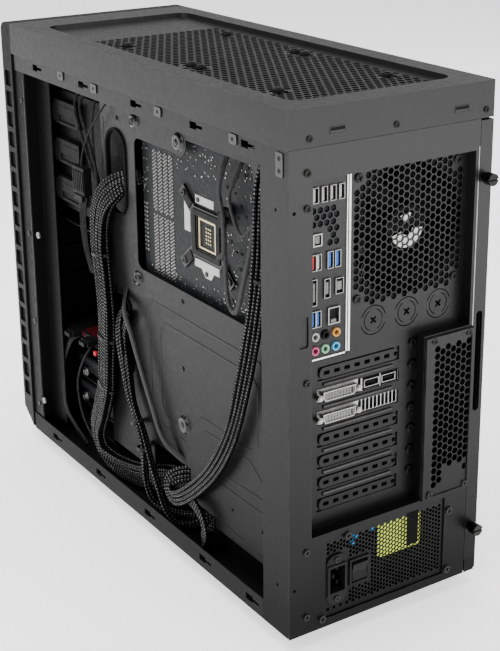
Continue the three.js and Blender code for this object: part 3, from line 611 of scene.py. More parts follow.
# The hard drives' casting metal, darkened for the shade inside the drive cage: painted shade.
CASTING_PAINTED_SHADE = plated("metal_casting_painted_shade", 0.014, roughness=0.5)
BRASS = plated("metal_brass", 0.6, (1.0, 0.85, 0.55), 0.3)
PCB = circuit_board("board_black")
BRAID = braid("sleeve_braided")
SHEATH = cable_skin("cable_sheath")
TIE = moulded("plastic_tie", (0.006, 0.006, 0.006), 0.35)
WHITE = moulded("plastic_white", (0.5, 0.5, 0.48), 0.4)
BLUE = moulded("plastic_blue", (0.03, 0.14, 0.5), 0.4)
RED = moulded("plastic_red", (0.55, 0.03, 0.04), 0.4)
PINK = moulded("plastic_pink", (0.6, 0.12, 0.24), 0.4)
GREEN = moulded("plastic_green", (0.3, 0.58, 0.36), 0.4)
SKY = moulded("plastic_sky_blue", (0.12, 0.45, 0.7), 0.4)
ORANGE = moulded("plastic_orange", (0.75, 0.36, 0.09), 0.4)
GREY_PLASTIC = moulded("plastic_grey", (0.22, 0.22, 0.21), 0.45)
RED_LABEL = sticker("label_red", (0.06, 0.004, 0.006))
SILVER_LABEL = sticker("label_silver", (0.8, 0.8, 0.78), 0.3)
DARK_LABEL = sticker("label_dark", (0.002, 0.002, 0.002), 0.5, 0.04)
# Painted glow: these give off light though none of them is a lamp.
GLOW = painted_glow("coil_yellow_painted_glow", (0.7, 0.85, 0.1), 1.1)
GLOW_BLUE = painted_glow("coil_blue_painted_glow", (0.02, 0.25, 0.6), 0.7)
GLOW_RED = painted_glow("red_part_painted_glow", (0.9, 0.05, 0.06), 1.2)


# ---- camera, light, floor -----------------------------------------------------------------------


def make_camera():
    camera = bpy.data.objects.new("camera", bpy.data.cameras.new("camera"))
    bpy.context.scene.collection.objects.link(camera)
    place = Vector((0.6967, 1.1251, 0.7124))
    aim = Vector((-0.0437, 0.0, 0.2756))
    turn = (aim - place).to_track_quat("-Z", "Y")
    camera.rotation_mode = "QUATERNION"
    camera.rotation_quaternion = turn @ Matrix.Rotation(math.radians(-0.46), 3, "Z").to_quaternion()
    camera.location = place
    camera.data.lens = 77.6
    camera.data.sensor_width = 36
    camera.data.shift_x = -0.018
    camera.data.shift_y = -0.125
    camera.data.clip_start = 0.05
    camera.data.clip_end = 50
    bpy.context.scene.camera = camera


def area_light(name, place, aim, size, power, colour=(1, 1, 1)):
    data = bpy.data.lights.new(name, "AREA")
    data.shape = "RECTANGLE"
    data.size, data.size_y = size
    data.energy = power
    data.color = colour
    light = bpy.data.objects.new(name, data)
    light.location = place
    light.rotation_mode = "QUATERNION"
    light.rotation_quaternion = (Vector(aim) - Vector(place)).to_track_quat("-Z", "Y")
    bpy.context.scene.collection.objects.link(light)


def make_studio():
    area_light("light_top", (0.3, -0.2, 2.2), (0, 0, 0.3), (2.2, 2.2), 75)
    area_light("light_side", (2.2, 0.1, 1.2), (0.1, 0, 0.25), (1.6, 1.6), 30)
    area_light("light_rear", (-0.9, 2.4, 1.1), (0, 0.26, 0.3), (1.0, 1.6), 26)
    area_light("light_left", (-2.4, -0.8, 1.3), (0, 0, 0.25), (1.6, 1.6), 20)
    world = bpy.data.worlds.new("studio")
    world.use_nodes = True
    world.node_tree.nodes["Background"].inputs["Color"].default_value = (1, 1, 1, 1)
    world.node_tree.nodes["Background"].inputs["Strength"].default_value = 0.55
    bpy.context.scene.world = world
    mesh = bpy.data.meshes.new("floor")
    reach = 6
    corners = [(-reach, -reach, 0), (reach, -reach, 0), (reach, reach, 0), (-reach, reach, 0)]
    mesh.from_pydata(corners, [], [(0, 1, 2, 3)])
    floor = bpy.data.objects.new("floor", mesh)
    bpy.context.scene.collection.objects.link(floor)
    s = Surface("floor_paper", 0.7)
    paper = s.blend(s.noise(40, 3), grey(0.95), grey(0.98))
    s.colour(paper)
    s.feed(s.shader.inputs["Emission Color"], paper)
    s.shader.inputs["Emission Strength"].default_value = 1.15
    mesh.materials.append(s.material)


make_camera()
make_studio()


# ---- wiring -------------------------------------------------------------------------------------

MAIN_ROUTE = [
    (70, -42, 352),
    (82, -45, 352),
    (92, -51, 346),
    (98, -63, 332),
    (98, -75, 311),
    (98, -79, 286),
    (98, -77, 264),
    (98, -74, 246),
    (98, -71, 220),
    (98, -72, 190),
    (98, -74, 160),
    (98, -78, 128),
    (98, -90, 98),
    (97, -104, 70),
    (93, -103, 46),
    (87, -84, 34),
    (82, -50, 35),
    (79, -14, 45),
    (74, 16, 55),
    (66, 46, 60),
    (56, 70, 58),
    (50, 89, 56),
]
CPU_ROUTE = [
    (62, 89, 84),
    (74, 70, 84),
    (88, 52, 78),
    (96, 46, 68),
    (98, 58, 60),
    (98, 84, 74),
    (98, 124, 110),
    (98, 154, 149),
    (98, 173, 187),
    (98, 187, 228),
    (98, 199, 269),
    (98, 208, 308),
    (98, 214, 346),
    (98, 217, 384),
    (97, 219, 412),
    (91, 220, 427),
    (80, 220, 432),
    (68, 219, 426),
    (62, 218, 412),
]
GRAPHICS_ROUTE = [
    (70, -58, 226),
    (82, -55, 222),
    (93, -49, 210),
    (98, -42, 190),
    (98, -36, 164),
    (98, -28, 136),
    (98, -12, 112),
    (98, -1, 88),
    (98, -1, 64),
    (97, 4, 44),
    (92, 12, 30),
    (82, 30, 25),
    (66, 56, 28),
    (50, 76, 36),
    (40, 89, 46),
]
BRANCH_ROUTE = [
    (93, -30, 222),
    (95, -38, 196),
    (97, -30, 168),
    (98, -20, 132),
    (98, -2, 106),
    (98, 8, 88),
    (98, 24, 60),
    (96, 40, 34),
    (86, 52, 24),
    (66, 66, 28),
    (48, 80, 40),
    (44, 89, 52),
]
LOOP_ROUTE = [
    (86, 60, 58),
    (94, 74, 66),
    (97, 92, 68),
    (98, 108, 60),
    (97, 112, 46),
    (94, 104, 32),
    (84, 90, 24),
    (70, 84, 30),
    (60, 88, 44),
]


def strands(solid, route, layout, radius, twist=0.0, wander=0.5, seed=1):
    """Runs wires side by side along a route. layout gives each wire's place across and out of the route."""
    path = smooth_route(route, 4.0)
    frames = route_frames(path)
    for k, (across, out) in enumerate(layout):
        wire = []
        for i, (p, (side, normal)) in enumerate(zip(path, frames)):
            angle = twist * i / len(path)
            a = across * math.cos(angle) - out * math.sin(angle)
            b = across * math.sin(angle) + out * math.cos(angle)
            shake = noise.noise_vector(Vector((i * 0.09, k * 3.7, seed))) * wander
            gather = min(1.0, 0.55 + min(i, len(path) - 1 - i) * 0.06)
            wire.append(p + side * a * gather + normal * b * gather + shake)
        solid.tube(wire, radius, 8)
    return solid


def ribbon_layout(columns, rows, pitch, depth):
    """Wires in a flat bundle: places in columns across the route and rows out of it."""
    layout = []
    for row in range(rows):
        shift = pitch / 2 if row % 2 else 0
        for column in range(columns - (row % 2)):
            layout.append(((column - (columns - 1) / 2) * pitch + shift, (row - (rows - 1) / 2) * depth))
    return layout


def tie_band(solid, route, share, half_width, half_depth):
    """A cable tie round a bundle, with its locking head."""
    path = smooth_route(route, 4.0)
    frames = route_frames(path)
    i = int(share * (len(path) - 1))
    p, (side, out) = path[i], frames[i]
    loop = []
    for k in range(24):
        a = 2 * math.pi * k / 24
        loop.append(p + side * half_width * math.cos(a) + out * half_depth * math.sin(a))
    along = side.cross(out)
    for k in range(24):
        q, r = loop[k], loop[(k + 1) % 24]
        mid = (q + r) / 2
        outward = (mid - p).normalized()
        step = (r - q) * 0.62
        corners = [mid + s * step + h * outward * 0.6 + w * along * 1.5 for s in (-1, 1) for h in (0, 1) for w in (-1, 1)]
        faces = [(0, 1, 3, 2), (4, 6, 7, 5), (0, 4, 5, 1), (2, 3, 7, 6), (0, 2, 6, 4), (1, 5, 7, 3)]
        solid.add(corners, faces)
    head = p + side * (half_width * 0.75) + out * (half_depth * 0.75)
    solid.block(around(head.x, 2), around(head.y, 2.6), around(head.z, 2.2))


def make_bundles():
    main = Solid()
    strands(main, MAIN_ROUTE, ribbon_layout(7, 3, 3.9, 3.3), 2.0, 0.35, 0.9, 1)
    main.make("main_bundle", BRAID, slot="cable_sleeve", replaces=["main_power_cable"])
    cpu = Solid()
    strands(cpu, CPU_ROUTE, ribbon_layout(4, 2, 4.0, 3.6), 2.2, 0.9, 0.6, 2)
    cpu.make("cpu_bundle", BRAID, slot="cable_sleeve", replaces=["cpu_power_cable"])
    graphics = Solid()
    strands(graphics, GRAPHICS_ROUTE, ribbon_layout(4, 2, 3.3, 3.0), 1.8, 0.8, 0.8, 3)
    graphics.make("graphics_bundle", BRAID, slot="cable_sleeve", replaces=["graphics_power_cable"])
    branch = Solid()
    strands(branch, BRANCH_ROUTE, ribbon_layout(3, 2, 3.3, 3.0), 1.8, 0.7, 0.8, 4)
    branch.make("branch_bundle", BRAID, slot="cable_sleeve")
    loop = Solid()
    strands(loop, LOOP_ROUTE, ribbon_layout(4, 1, 3.2, 3.0), 1.8, 0.4, 0.5, 5)
    loop.make("loop_bundle", BRAID, slot="cable_sleeve")
    ties = Solid()
    for route, share, width, depth in (
        (MAIN_ROUTE, 0.2, 15.5, 6.6),
        (MAIN_ROUTE, 0.37, 15, 6.4),
        (MAIN_ROUTE, 0.47, 15, 6.4),
        (GRAPHICS_ROUTE, 0.42, 9, 6),
        (GRAPHICS_ROUTE, 0.5, 9, 6),
        (CPU_ROUTE, 0.74, 8, 5),
    ):
        tie_band(ties, route, share, width, depth)
    ties.make("cable_ties", TIE, slot="black_plastic")


def free_wire(name, points, radius, flat=1.0, material=None):
    """A loose wire between two places on the object."""
    path = smooth_route(points, 3.0)
    wire = Solid()
    wire.tube(path, radius, 8, flat)
    made = wire.make(name, material or SHEATH, slot="cable_sleeve")
    return made


def make_loose_wires():
    free_wire("wire_panel_1", [(84, -134, 432), (90, -137, 410), (92, -117, 376), (92, -95, 344), (94, -88, 318)], 1.7)
    free_wire("wire_panel_2", [(84, -120, 432), (92, -122, 412), (94, -103, 385), (95, -86, 351), (96, -84, 326)], 1.7)
    free_wire("wire_panel_3", [(84, -128, 432), (88, -130, 406), (89, -108, 370), (90, -90, 340), (92, -82, 322)], 1.5)
    free_wire("wire_panel_4", [(86, -66, 430), (95, -70, 418), (97, -98, 388), (97, -113, 362), (96, -116, 340)], 0.9)
    free_wire("wire_panel_5", [(84, -96, 432), (90, -98, 410), (92, -96, 380), (93, -90, 350), (95, -82, 330)], 1.2)
    free_wire("wire_fan_1", [(84, 148, 426), (92, 146, 404), (93, 142, 386), (93, 148, 362), (94, 150, 334), (94, 140, 326)], 3.0, 0.5)
    free_wire("wire_fan_2", [(84, 172, 426), (92, 168, 404), (94, 160, 388), (94, 164, 372), (95, 180, 356), (95, 200, 372)], 2.2, 0.6)
    free_wire(
        "wire_fan_3",
        [(95, 204, 390), (96, 196, 352), (96, 184, 316), (95, 172, 288), (94, 160, 284), (93, 152, 300), (93, 150, 334)],
        2.8,
        0.5,
    )
    free_wire("wire_drive_1", [(74, -184, 146), (82, -192, 138), (86, -204, 112), (88, -206, 84), (88, -197, 50), (84, -160, 24)], 3.6, 0.4)
    free_wire("wire_drive_2", [(74, -150, 146), (82, -154, 134), (86, -166, 110), (88, -168, 88), (88, -156, 58), (84, -130, 30)], 1.4)
    free_wire(
        "wire_flat",
        [(88, -44, 244), (99, -30, 226), (100, -15, 205), (99, -2, 178), (98, 17, 143), (96, 35, 112), (90, 60, 99), (84, 72, 96)],
        4.2,
        0.45,
    )
    for i in range(6):
        shift = 1.9 * i
        points = [(96, -117 + shift, 322), (97, -122 + shift * 1.2, 300), (97, -118 + shift * 1.15, 270), (97, -104 + shift, 244)]
        free_wire(f"wire_ribbon_{i + 1}", points, 0.85)


make_bundles()
make_loose_wires()


# ---- parts kept from the CAD --------------------------------------------------------------------


def finish_cad(material, *nodes, bevel=0.4):
    """Gives CAD nodes a material and softly rounded edges."""
    for node in nodes:
        piece = bpy.data.objects[node]
        piece.data.materials.clear()
        piece.data.materials.append(material)
        weld = piece.modifiers.new("weld", "WELD")
        weld.merge_threshold = 1e-5
        soften(piece, bevel)


def finish_kept_nodes():
    finish_cad(PAINT, "bottom_pan", "top_frame", "left_side_panel", bevel=0.3)
    # The front frame and the cages take the near-black copy: painted shade inside the case.
    finish_cad(PAINT_INNER_PAINTED_SHADE, "front_frame", bevel=0.3)
    finish_cad(PAINT_TOP_PAINTED_LIGHT, "top_cover", bevel=0.9)
    finish_cad(PAINT_INNER_PAINTED_SHADE, "bay_cage", "drive_cage", bevel=0.3)
    finish_cad(RUBBER, "tray_grommet_upper", "tray_grommet_lower", bevel=0.8)
    feet = ["foot_front_left", "foot_front_right", "foot_rear_left", "foot_rear_right"]
    finish_cad(RUBBER, *feet, bevel=0.6)
    finish_cad(PLASTIC, "bay_cover_1", "bay_cover_2", "bay_cover_3", "psu_filter")
    finish_cad(PLASTIC, "bay_latch_1", "bay_latch_2", "bay_latch_3", bevel=0.8)
    finish_cad(PLASTIC_DARK, "front_fan_frame", "front_fan_rotor", "cpu_fan_rotor", "drive_tray_1", "drive_tray_2")
    finish_cad(PLASTIC_DARK, "graphics_fan_rotor", "psu_fan_rotor", "rear_fan_frame", "rear_fan_rotor")
    finish_cad(PLASTIC, "power_button", "reset_button", "psu_inlet", "psu_rocker", bevel=0.5)
    finish_cad(SCREW_BLACK, "thumbscrew_lower", "thumbscrew_upper", bevel=0.5)
    finish_cad(CASTING_PAINTED_SHADE, "hard_drive_1", "hard_drive_2", bevel=0.6)
    finish_cad(ALUMINIUM, "cpu_cooler", bevel=0.2)
    finish_cad(PCB, "motherboard", "memory_modules", "graphics_card", bevel=0.2)
    finish_cad(SCREW_BLACK, "cpu_backplate", bevel=0.5)
    finish_cad(PLASTIC, "solid_state_drive", bevel=0.6)


# ---- rear ---------------------------------------------------------------------------------------

WELL_OUTLINE = [(-89, 262), (-38, 262), (-38, 104.5), (82.8, 104.5), (82.8, 422), (-89, 422)]
FACE_LEFT = LEFT + 14
VENT_WINDOW = rect((-90.5, -47), (113, 254))
IO_X = (37.2, 81.3)
IO_Z = (261.5, 419.5)
SLOT_Z = [SLOT_TOP - i * SLOT_PITCH for i in range(7)]
FAN_SCREWS = [(FAN.x + sx * 52.5, FAN.z + sz * 52.5) for sx in (-1, 1) for sz in (-1, 1)]
THUMBSCREW_Z = [centre("thumbscrew_lower").z, centre("thumbscrew_upper").z]
KNOCK_OUTS = [(x, 285.5) for x in (10, -26, -61)]


def clear_of(spots, distance):
    """A test that a point keeps its distance from every given spot."""
    return lambda u, v: all(math.hypot(u - a, v - b) > distance for a, b in spots)


def make_rear_panel():
    face = Solid()
    psu_window = rect((-66.5, 66.5), (22, 100))
    small_holes = [disc(99.5, z, 1.6, 12) for z in (397, 60.5)]
    stamped = [rounded(around(90, 4.5), around(295, 13.5), 2)]
    outline = rect((FACE_LEFT, SKIN), (BASE, SKIRT - 0.3))
    face.plate("y", (REAR - SHEET, REAR), outline, [WELL_OUTLINE, psu_window, VENT_WINDOW, *small_holes, *stamped])
    corner = inset((LEFT, FACE_LEFT), 1.4)
    face.block(corner, (REAR - SHEET, REAR), (BASE, BASE + 13.6))
    face.prism("y", (REAR - SHEET - 1.2, REAR - SHEET - 0.2), rounded(around(90, 6), around(295, 15), 2.5))
    well_floor = [rect(IO_X, IO_Z)]
    well_floor += [rect((-19, 68), around(z, 6.4)) for z in SLOT_Z]
    well_floor += hex_field(6.7, 5.6, (-86, 34), (299, 420), clear_of(FAN_SCREWS, 7.5))
    for u, v in KNOCK_OUTS:
        for turn in (20, 200):
            well_floor.append(ring_slot(u, v, 13, 0.9, turn, turn + 145, 16))
            well_floor.append(ring_slot(u, v, 9.6, 0.8, turn + 90, turn + 225, 14))
        well_floor.append(cross(u, v, 3.8, 1.0, 45))
    face.plate("y", (WELL_INNER, WELL), shrink(WELL_OUTLINE, 0.02), well_floor)
    face.plate("y", (WELL + 0.02, REAR - 0.02), WELL_OUTLINE, [shrink(WELL_OUTLINE, SHEET)])
    wrap_holes = [disc(246, z, 1.5, 12) for z in (60, 397)]
    face.plate("x", (SKIN - SHEET, SKIN), rect((REAR - 40, REAR - SHEET), (BASE + 1.5, SKIRT - 0.3)), wrap_holes)
    face.block((FACE_LEFT, FACE_LEFT + SHEET), (REAR - 24, REAR - SHEET), (20, 430))
    tab_holes = [disc(LEFT + 8, z, 2.6, 16) for z in THUMBSCREW_Z]
    tab_holes.append(rounded((LEFT + 3.4, LEFT + 10.6), (178, 274), 3.5))
    face.plate("y", (REAR - 4.2, REAR - 3), rect((LEFT + 3.3, FACE_LEFT), (20, 430)), tab_holes)
    face.make("rear_sheet", PAINT_REAR_SHADE_AND_SHEEN, slot="painted_steel", bevel=0.25, replaces=["rear_panel"])


def screw(solid, axis, face, u, v, radius=3.4, depth=1.7, turn=20.0):
    """A pan head with a cross recess, standing on a face towards + on its axis."""
    floor = face + depth * 0.35
    solid.rod(axis, (face, floor), u, v, radius * 1.04, 20)
    solid.plate(axis, (floor + 0.01, face + depth), disc(u, v, radius, 20), [cross(u, v, radius * 0.6, radius * 0.15, turn)])


def make_rear_screws():
    dark = Solid()
    for i, z in enumerate((428, 399, 250, 94, 31)):
        screw(dark, "y", REAR, 87, z, 3.2, 1.6, 15 + 20 * i)
    for i, (u, v) in enumerate(FAN_SCREWS):
        screw(dark, "y", WELL, u, v, 4.0, 1.8, 25 * i)
    for i, (u, v) in enumerate(((-47.6, 257.2), (-86.5, 257.2), (-46.3, 109.5), (-87, 109.5))):
        screw(dark, "y", high("slot_vent_panel").y, u, v, 3.0, 1.4, 30 * i)
    for i, (u, v) in enumerate(((43.3, 97), (-71, 86), (-71, 25.4), (70.5, 23.4))):
        screw(dark, "y", REAR, u, v, 3.6, 1.8, 35 * i)
    for i, z in enumerate(SLOT_Z):
        screw(dark, "y", WELL, -33, z + 6.3, 4.0, 2.4, 22 * i)
        dark.rod("y", (WELL + 0.01, WELL + 1.4), -33, z + 6.3, 5.0, 6)
    dark.make("screws_rear", SCREW_BLACK, slot="bare_steel", bevel=0.3)


def make_vent_panel():
    x = (FACE_LEFT, -37.5)
    z = (104.8, 261.5)
    y = (low("slot_vent_panel").y, high("slot_vent_panel").y)
    field = hex_field(6.9, 5.8, (-91, -47), (113, 254), lambda u, v: not (u < -61 and v < 135))
    notch = rounded((-88.5, -84.5), (124, 130), 1.5)
    panel = Solid()
    panel.plate("y", y, rect(x, z), [*field, notch])
    panel.plate("y", (y[1] - 0.01, y[1] + 1.1), rect(inset(x, 0.4), inset(z, 0.4)), [rounded(inset(x, 2.6), inset(z, 2.6), 2)])
    panel.make("vent_panel", PAINT_REAR_SHADE_AND_SHEEN, slot="painted_steel", bevel=0.25, replaces=["slot_vent_panel"])


def make_slot_cover(node, z):
    """A blanking plate with a raised, vented rib across it."""
    cover = Solid()
    y = (low(node).y, high(node).y)
    vents = [rounded(around(58.6 - 10.6 * i, 2.9), around(z, 1.7), 0.6, 2) for i in range(8)]
    cover.plate("y", y, rect((-36, 72), around(z, 9.2)), vents)
    cover.plate("y", (y[1] - 0.01, WELL + 0.7), rounded((-17, 66), around(z, 5.3), 4.6), vents)
    cover.make(f"{node}_vented", PAINT_REAR_SHADE_AND_SHEEN, slot="painted_steel", bevel=0.35, replaces=[node])


def make_slot_ribs():
    """Narrow ribs pressed into the well floor between the covers."""
    ribs = Solid()
    for i in range(6):
        path = [Vector((x, WELL + 0.02, SLOT_Z[i] - SLOT_PITCH / 2)) for x in (-11, 62)]
        ribs.tube(path, 1.7, 12)
    # Painted highlight: the ribs take a reflective metal in place of the paint.
    ribs.make("slot_ribs", RIB_PAINTED_HIGHLIGHT, slot="painted_steel")


def monitor_socket(metal, plastic, z):
    """A wide socket with pin holes between two hexagonal posts."""
    y = WELL + 4
    shell = [(32, z - 4.4), (62, z - 4.4), (64, z - 1), (64, z + 4.4), (30, z + 4.4), (30, z - 1)]
    metal.plate("y", (WELL_INNER - 1.2, y), shell, [shrink(shell, 1.1)])
    pins = [rect(around(58 - 3 * i, 0.55), around(z + 2.4 - 2.4 * j, 0.55)) for i in range(8) for j in range(3)]
    pins.append(rect((32.8, 34.6), around(z, 2.4)))
    plastic.plate("y", (WELL_INNER - 1.2, y - 0.8), shrink(shell, 1.2), pins)
    for x in (67.6, 27):
        metal.prism("y", (WELL_INNER - 0.5, y + 0.9), disc(x, z, 3.1, 6))
        metal.rod("y", (y + 0.91, y + 1.6), x, z, 2.0, 12)


def make_graphics_bracket():
    node = "graphics_bracket"
    y = (low(node).y, low(node).y + 1.6)
    z = (low(node).z, high(node).z)
    upper, lower = SLOT_Z[1], SLOT_Z[2]
    openings = []
    for level in (upper, lower):
        openings.append(rect((31.2, 62.8), around(level, 3.2)))
    openings.append(rect((-19, 24), around(upper, 6.3)))
    openings += [rounded(around(22 - 4.2 * i, 1.55), around(lower, 5.4), 1.2, 2) for i in range(10)]
    metal = Solid()
    metal.plate("y", y, rect((-36, 72), z), openings)
    plastic = Solid()
    monitor_socket(metal, plastic, upper)
    monitor_socket(metal, plastic, lower)
    dark = Solid()
    sockets = ((3, 19), (-15, 0))
    mouths = [rect(x, around(upper, 3.6)) for x in sockets]
    dark.plate("y", (y[0], y[1] - 0.3), rect((-18.9, 23.9), around(upper, 6.2)), mouths)
    for x in sockets:
        inner = rect(inset(x, 0.8), around(upper, 2.8))
        metal.plate("y", (y[0] - 6, WELL + 0.5), rect(x, around(upper, 3.59)), [inner])
        dark.block(inset(x, 3), (y[0] - 6, WELL - 0.8), around(upper, 0.7))
    metal.block((20.6, 22.4), (y[1] - 0.29, WELL), around(upper, 6))
    metal.block((1, 2), (y[1] - 0.29, WELL), around(upper, 6))
    dark.make("bracket_dark_panel", PLASTIC_DARK, slot="black_plastic")
    metal.make("bracket_pressed", NICKEL, slot="bare_steel", bevel=0.25, replaces=[node])
    plastic.make("monitor_socket_cores", GREY_PLASTIC, slot="black_plastic")


def port(metal, back, core, x, z, tongue=None, depth=5.0, wall=0.6):
    """A rectangular connector: a metal shell, a dark floor in its mouth and a tongue inside."""
    face = WELL + 1.4
    metal.plate("y", (face - depth, face), rect(x, z), [rect(inset(x, wall), inset(z, wall))])
    back.block(inset(x, 0.1), (face - depth - 1, face - depth - 0.01), inset(z, 0.1))
    if tongue:
        core.block(tongue[0], (face - depth, face - 0.8), tongue[1])


def make_io_ports():
    """The board's rear connectors, each metal shell with its coloured insides."""
    x = (low("io_shield").x, high("io_shield").x)
    z = (low("io_shield").z, high("io_shield").z)
    metal, white, blue, red, dark, back = (Solid() for _ in range(6))
    mouths = []
    for middle in (71, 62.3, 53.7, 45):
        span = (around(middle, 2.9), around(404.5, 6.6))
        mouths.append(span)
        port(metal, back, white, *span, (around(middle + 0.9, 0.8), around(404.5, 5.2)))
    mouths.append((around(69, 4.6), around(367, 5.4)))
    port(metal, back, dark, *mouths[-1], (around(69, 2.2), around(367, 3)), wall=1.2)
    for middle, core in ((72.6, red), (67.6, white)):
        span = (around(middle, 2.6), around(348, 7))
        mouths.append(span)
        port(metal, back, core, *span, (around(middle + 0.6, 1.1), around(348, 5.6)))
    for middle in (56, 48.4):
        span = (around(middle, 3.0), around(348, 7.4))
        mouths.append(span)
        port(metal, back, blue, *span, (around(middle + 0.6, 1.3), around(348, 6)))
    for span in ((around(72, 2.6), (311, 334)), (around(59, 3), (315.5, 332.5)), (around(46.6, 4), (317, 331))):
        mouths.append(span)
        port(metal, back, dark, *span, (inset(span[0], 1.6), inset(span[1], 3.4)))
    for middle, core in ((72.8, blue), (67.6, blue)):
        span = (around(middle, 2.6), around(299, 7.2))
        mouths.append(span)
        port(metal, back, core, *span, (around(middle + 0.6, 1.2), around(299, 5.8)))
    lan = ((46, 58), (291.5, 306.5))
    mouths.append(lan)
    port(metal, back, dark, *lan, (inset(lan[0], 3.4), (lan[1][0] + 1, lan[1][0] + 4)), wall=1.0)
    jacks = [(70.6, 283.4), (59.9, 283.4), (49, 283.4), (70.6, 271), (60.3, 271), (49.4, 271)]
    colours = (WHITE, PLASTIC, ORANGE, PINK, GREEN, SKY)
    mesh = hex_field(6.6, 5.3, (45.5, 79), (357.5, 396.5), clear_of([(69, 367)], 10.5), columns=False)
    mesh = [h for h in mesh if max(p[0] for p in h) < 79.5]
    holes = [rect(*span) for span in mouths] + [disc(u, v, 4.4, 20) for u, v in jacks] + mesh
    shield = Solid()
    shield.plate("y", (WELL_INNER - 0.3, WELL - 0.4), rect(x, z), holes)
    shield.make("io_plate", PAINT_REAR_SHADE_AND_SHEEN, slot="bare_steel", bevel=0.15, replaces=["io_shield"])
    metal.make("port_shells", NICKEL, slot="bare_steel", bevel=0.1)
    white.make("port_cores_white", WHITE, slot="black_plastic", bevel=0.1)
    blue.make("port_cores_blue", BLUE, slot="black_plastic", bevel=0.1)
    red.make("port_core_red", RED, slot="red_plastic", bevel=0.1)
    dark.make("port_cores_grey", GREY_PLASTIC, slot="black_plastic", bevel=0.1)
    for i, ((u, v), material) in enumerate(zip(jacks, colours)):
        jack = Solid()
        jack.plate("y", (WELL_INNER - 4, WELL + 1.6), disc(u, v, 3.9, 24), [disc(u, v, 2.3, 16)])
        back.rod("y", (WELL_INNER - 5, WELL_INNER - 4.01), u, v, 3.9, 24)
        jack.make(f"audio_jack_{i + 1}", material, slot="black_plastic", bevel=0.5)
    back.make("port_floors", PLASTIC_DARK, slot="black_plastic")
    strip = Solid()
    strip.block((x[0] - 2.2, x[0] - 0.2), (WELL + 0.02, WELL + 0.9), (z[0] + 2, z[1] - 2))
    strip.block((x[0] + 0.6, x[0] + 1.8), (WELL - 0.38, WELL + 0.6), (z[0] + 2, z[1] - 2))
    strip.block((x[0] + 2.4, x[1] - 2), (WELL - 0.38, WELL + 0.6), (z[0] + 0.6, z[0] + 2.2))
    strip.make("io_spring_edge", BRIGHT, slot="bare_steel", bevel=0.2)


def make_fan_sticker():
    hub = high("rear_fan_rotor")
    sticker_disc = Solid()
    level = low("rear_fan_frame").y if low("rear_fan_frame").y > hub.y else high("rear_fan_frame").y
    film = (level + 0.02, level + 0.2)
    sticker_disc.prism("y", film, ring_slot(FAN.x, FAN.z, 11.5, 11, 186, 342, 24))
    sticker_disc.prism("y", film, ring_slot(FAN.x, FAN.z, 9.5, 8, 58, 108, 10))
    sticker_disc.make("fan_sticker", SILVER_LABEL)


def make_psu():
    """The power supply's case with its grilles, parts behind them given a painted glow, and a blank rating plate."""
    node = "psu_case"
    a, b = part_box(node)
    x = (a.x / MM, b.x / MM)
    y = (a.y / MM, low("psu_inlet").y + 17.99)
    z = (a.z / MM, b.z / MM)
    face = high("rear_panel").y - SHEET - 0.5
    y = (y[0], face)
    inlet = rect(around(54.8, 10.6), around(57.8, 15.1))
    switch = rect(around(29.5, 8.6), around(58, 10.6))

    def open_area(u, v):
        beside_inlet = abs(u - 54.8) < 14 and abs(v - 57.8) < 27
        beside_switch = abs(u - 29.5) < 13.5 and abs(v - 58) < 15.5
        return not beside_inlet and not beside_switch

    case = Solid()
    grille = hex_field(4.0, 3.0, (-65, 66), (27, 95), open_area)
    case.plate("y", (y[1] - SHEET, y[1]), rect(x, z), [inlet, switch, *grille])
    outlet = rounded((30, 71), (38, 94), 6)
    case.plate("y", (y[0], y[0] + SHEET), rect(x, z), [outlet])
    inside = (y[0] + SHEET + 0.01, y[1] - SHEET - 0.01)
    fan_hole = disc(-6, 172, 56, 48)
    case.plate("z", (z[0], z[0] + SHEET), rect(x, inside), [fan_hole])
    case.block(x, inside, (z[1] - SHEET, z[1]))
    case.block((x[0], x[0] + SHEET), inside, (z[0] + SHEET + 0.01, z[1] - SHEET - 0.01))
    case.block((x[1] - SHEET, x[1]), inside, (z[0] + SHEET + 0.01, z[1] - SHEET - 0.01))
    bezel = rect(around(29.5, 11), around(58, 12.8))
    case.plate("y", (y[1] + 0.01, y[1] + 1.8), bezel, [switch])
    for radius in (12, 24, 36, 48, 55):
        ring = [at("z", z[0] + 0.7, *p) for p in disc(-6, 172, radius, 40)]
        case.tube(ring, 0.7, 8, closed=True)
    case.make("psu_shell", PAINT_REAR_SHADE_AND_SHEEN, slot="painted_steel", bevel=0.3, replaces=[node])
    # Painted glow: the yellow slab, the blue blocks and the red block behind the grille give off light, though none is
    # a lamp.
    coil = Solid()
    coil.block((-44, 2), (y[1] - 9, y[1] - 5), (58, 95))
    coil.make("psu_coil_yellow", GLOW)
    chips = Solid()
    for u, v, half in ((38, 92, 2.4), (30, 89, 1.8), (12, 91, 2.2), (33, 84, 1.4)):
        chips.block(around(u, half), (y[1] - 6, y[1] - 3), around(v, half))
    chips.make("psu_parts_blue", GLOW_BLUE)
    lamp = Solid()
    lamp.block((-40, -34), (y[1] - 4.6, y[1] - 3.2), (66, 93))
    lamp.make("psu_part_red", GLOW_RED)
    plate = Solid()
    plate.block((-37, -24), (y[1] + 0.02, y[1] + 0.4), (64, 96))
    plate.make("psu_rating_plate", DARK_LABEL)
    flange = Solid()
    for v in (57.8 - 19, 57.8 + 19):
        screw(flange, "y", y[1] + 2.2, 54.8, v, 2.8, 1.2, 40)
    flange.make("inlet_screws", SCREW_BLACK, slot="bare_steel", bevel=0.2)


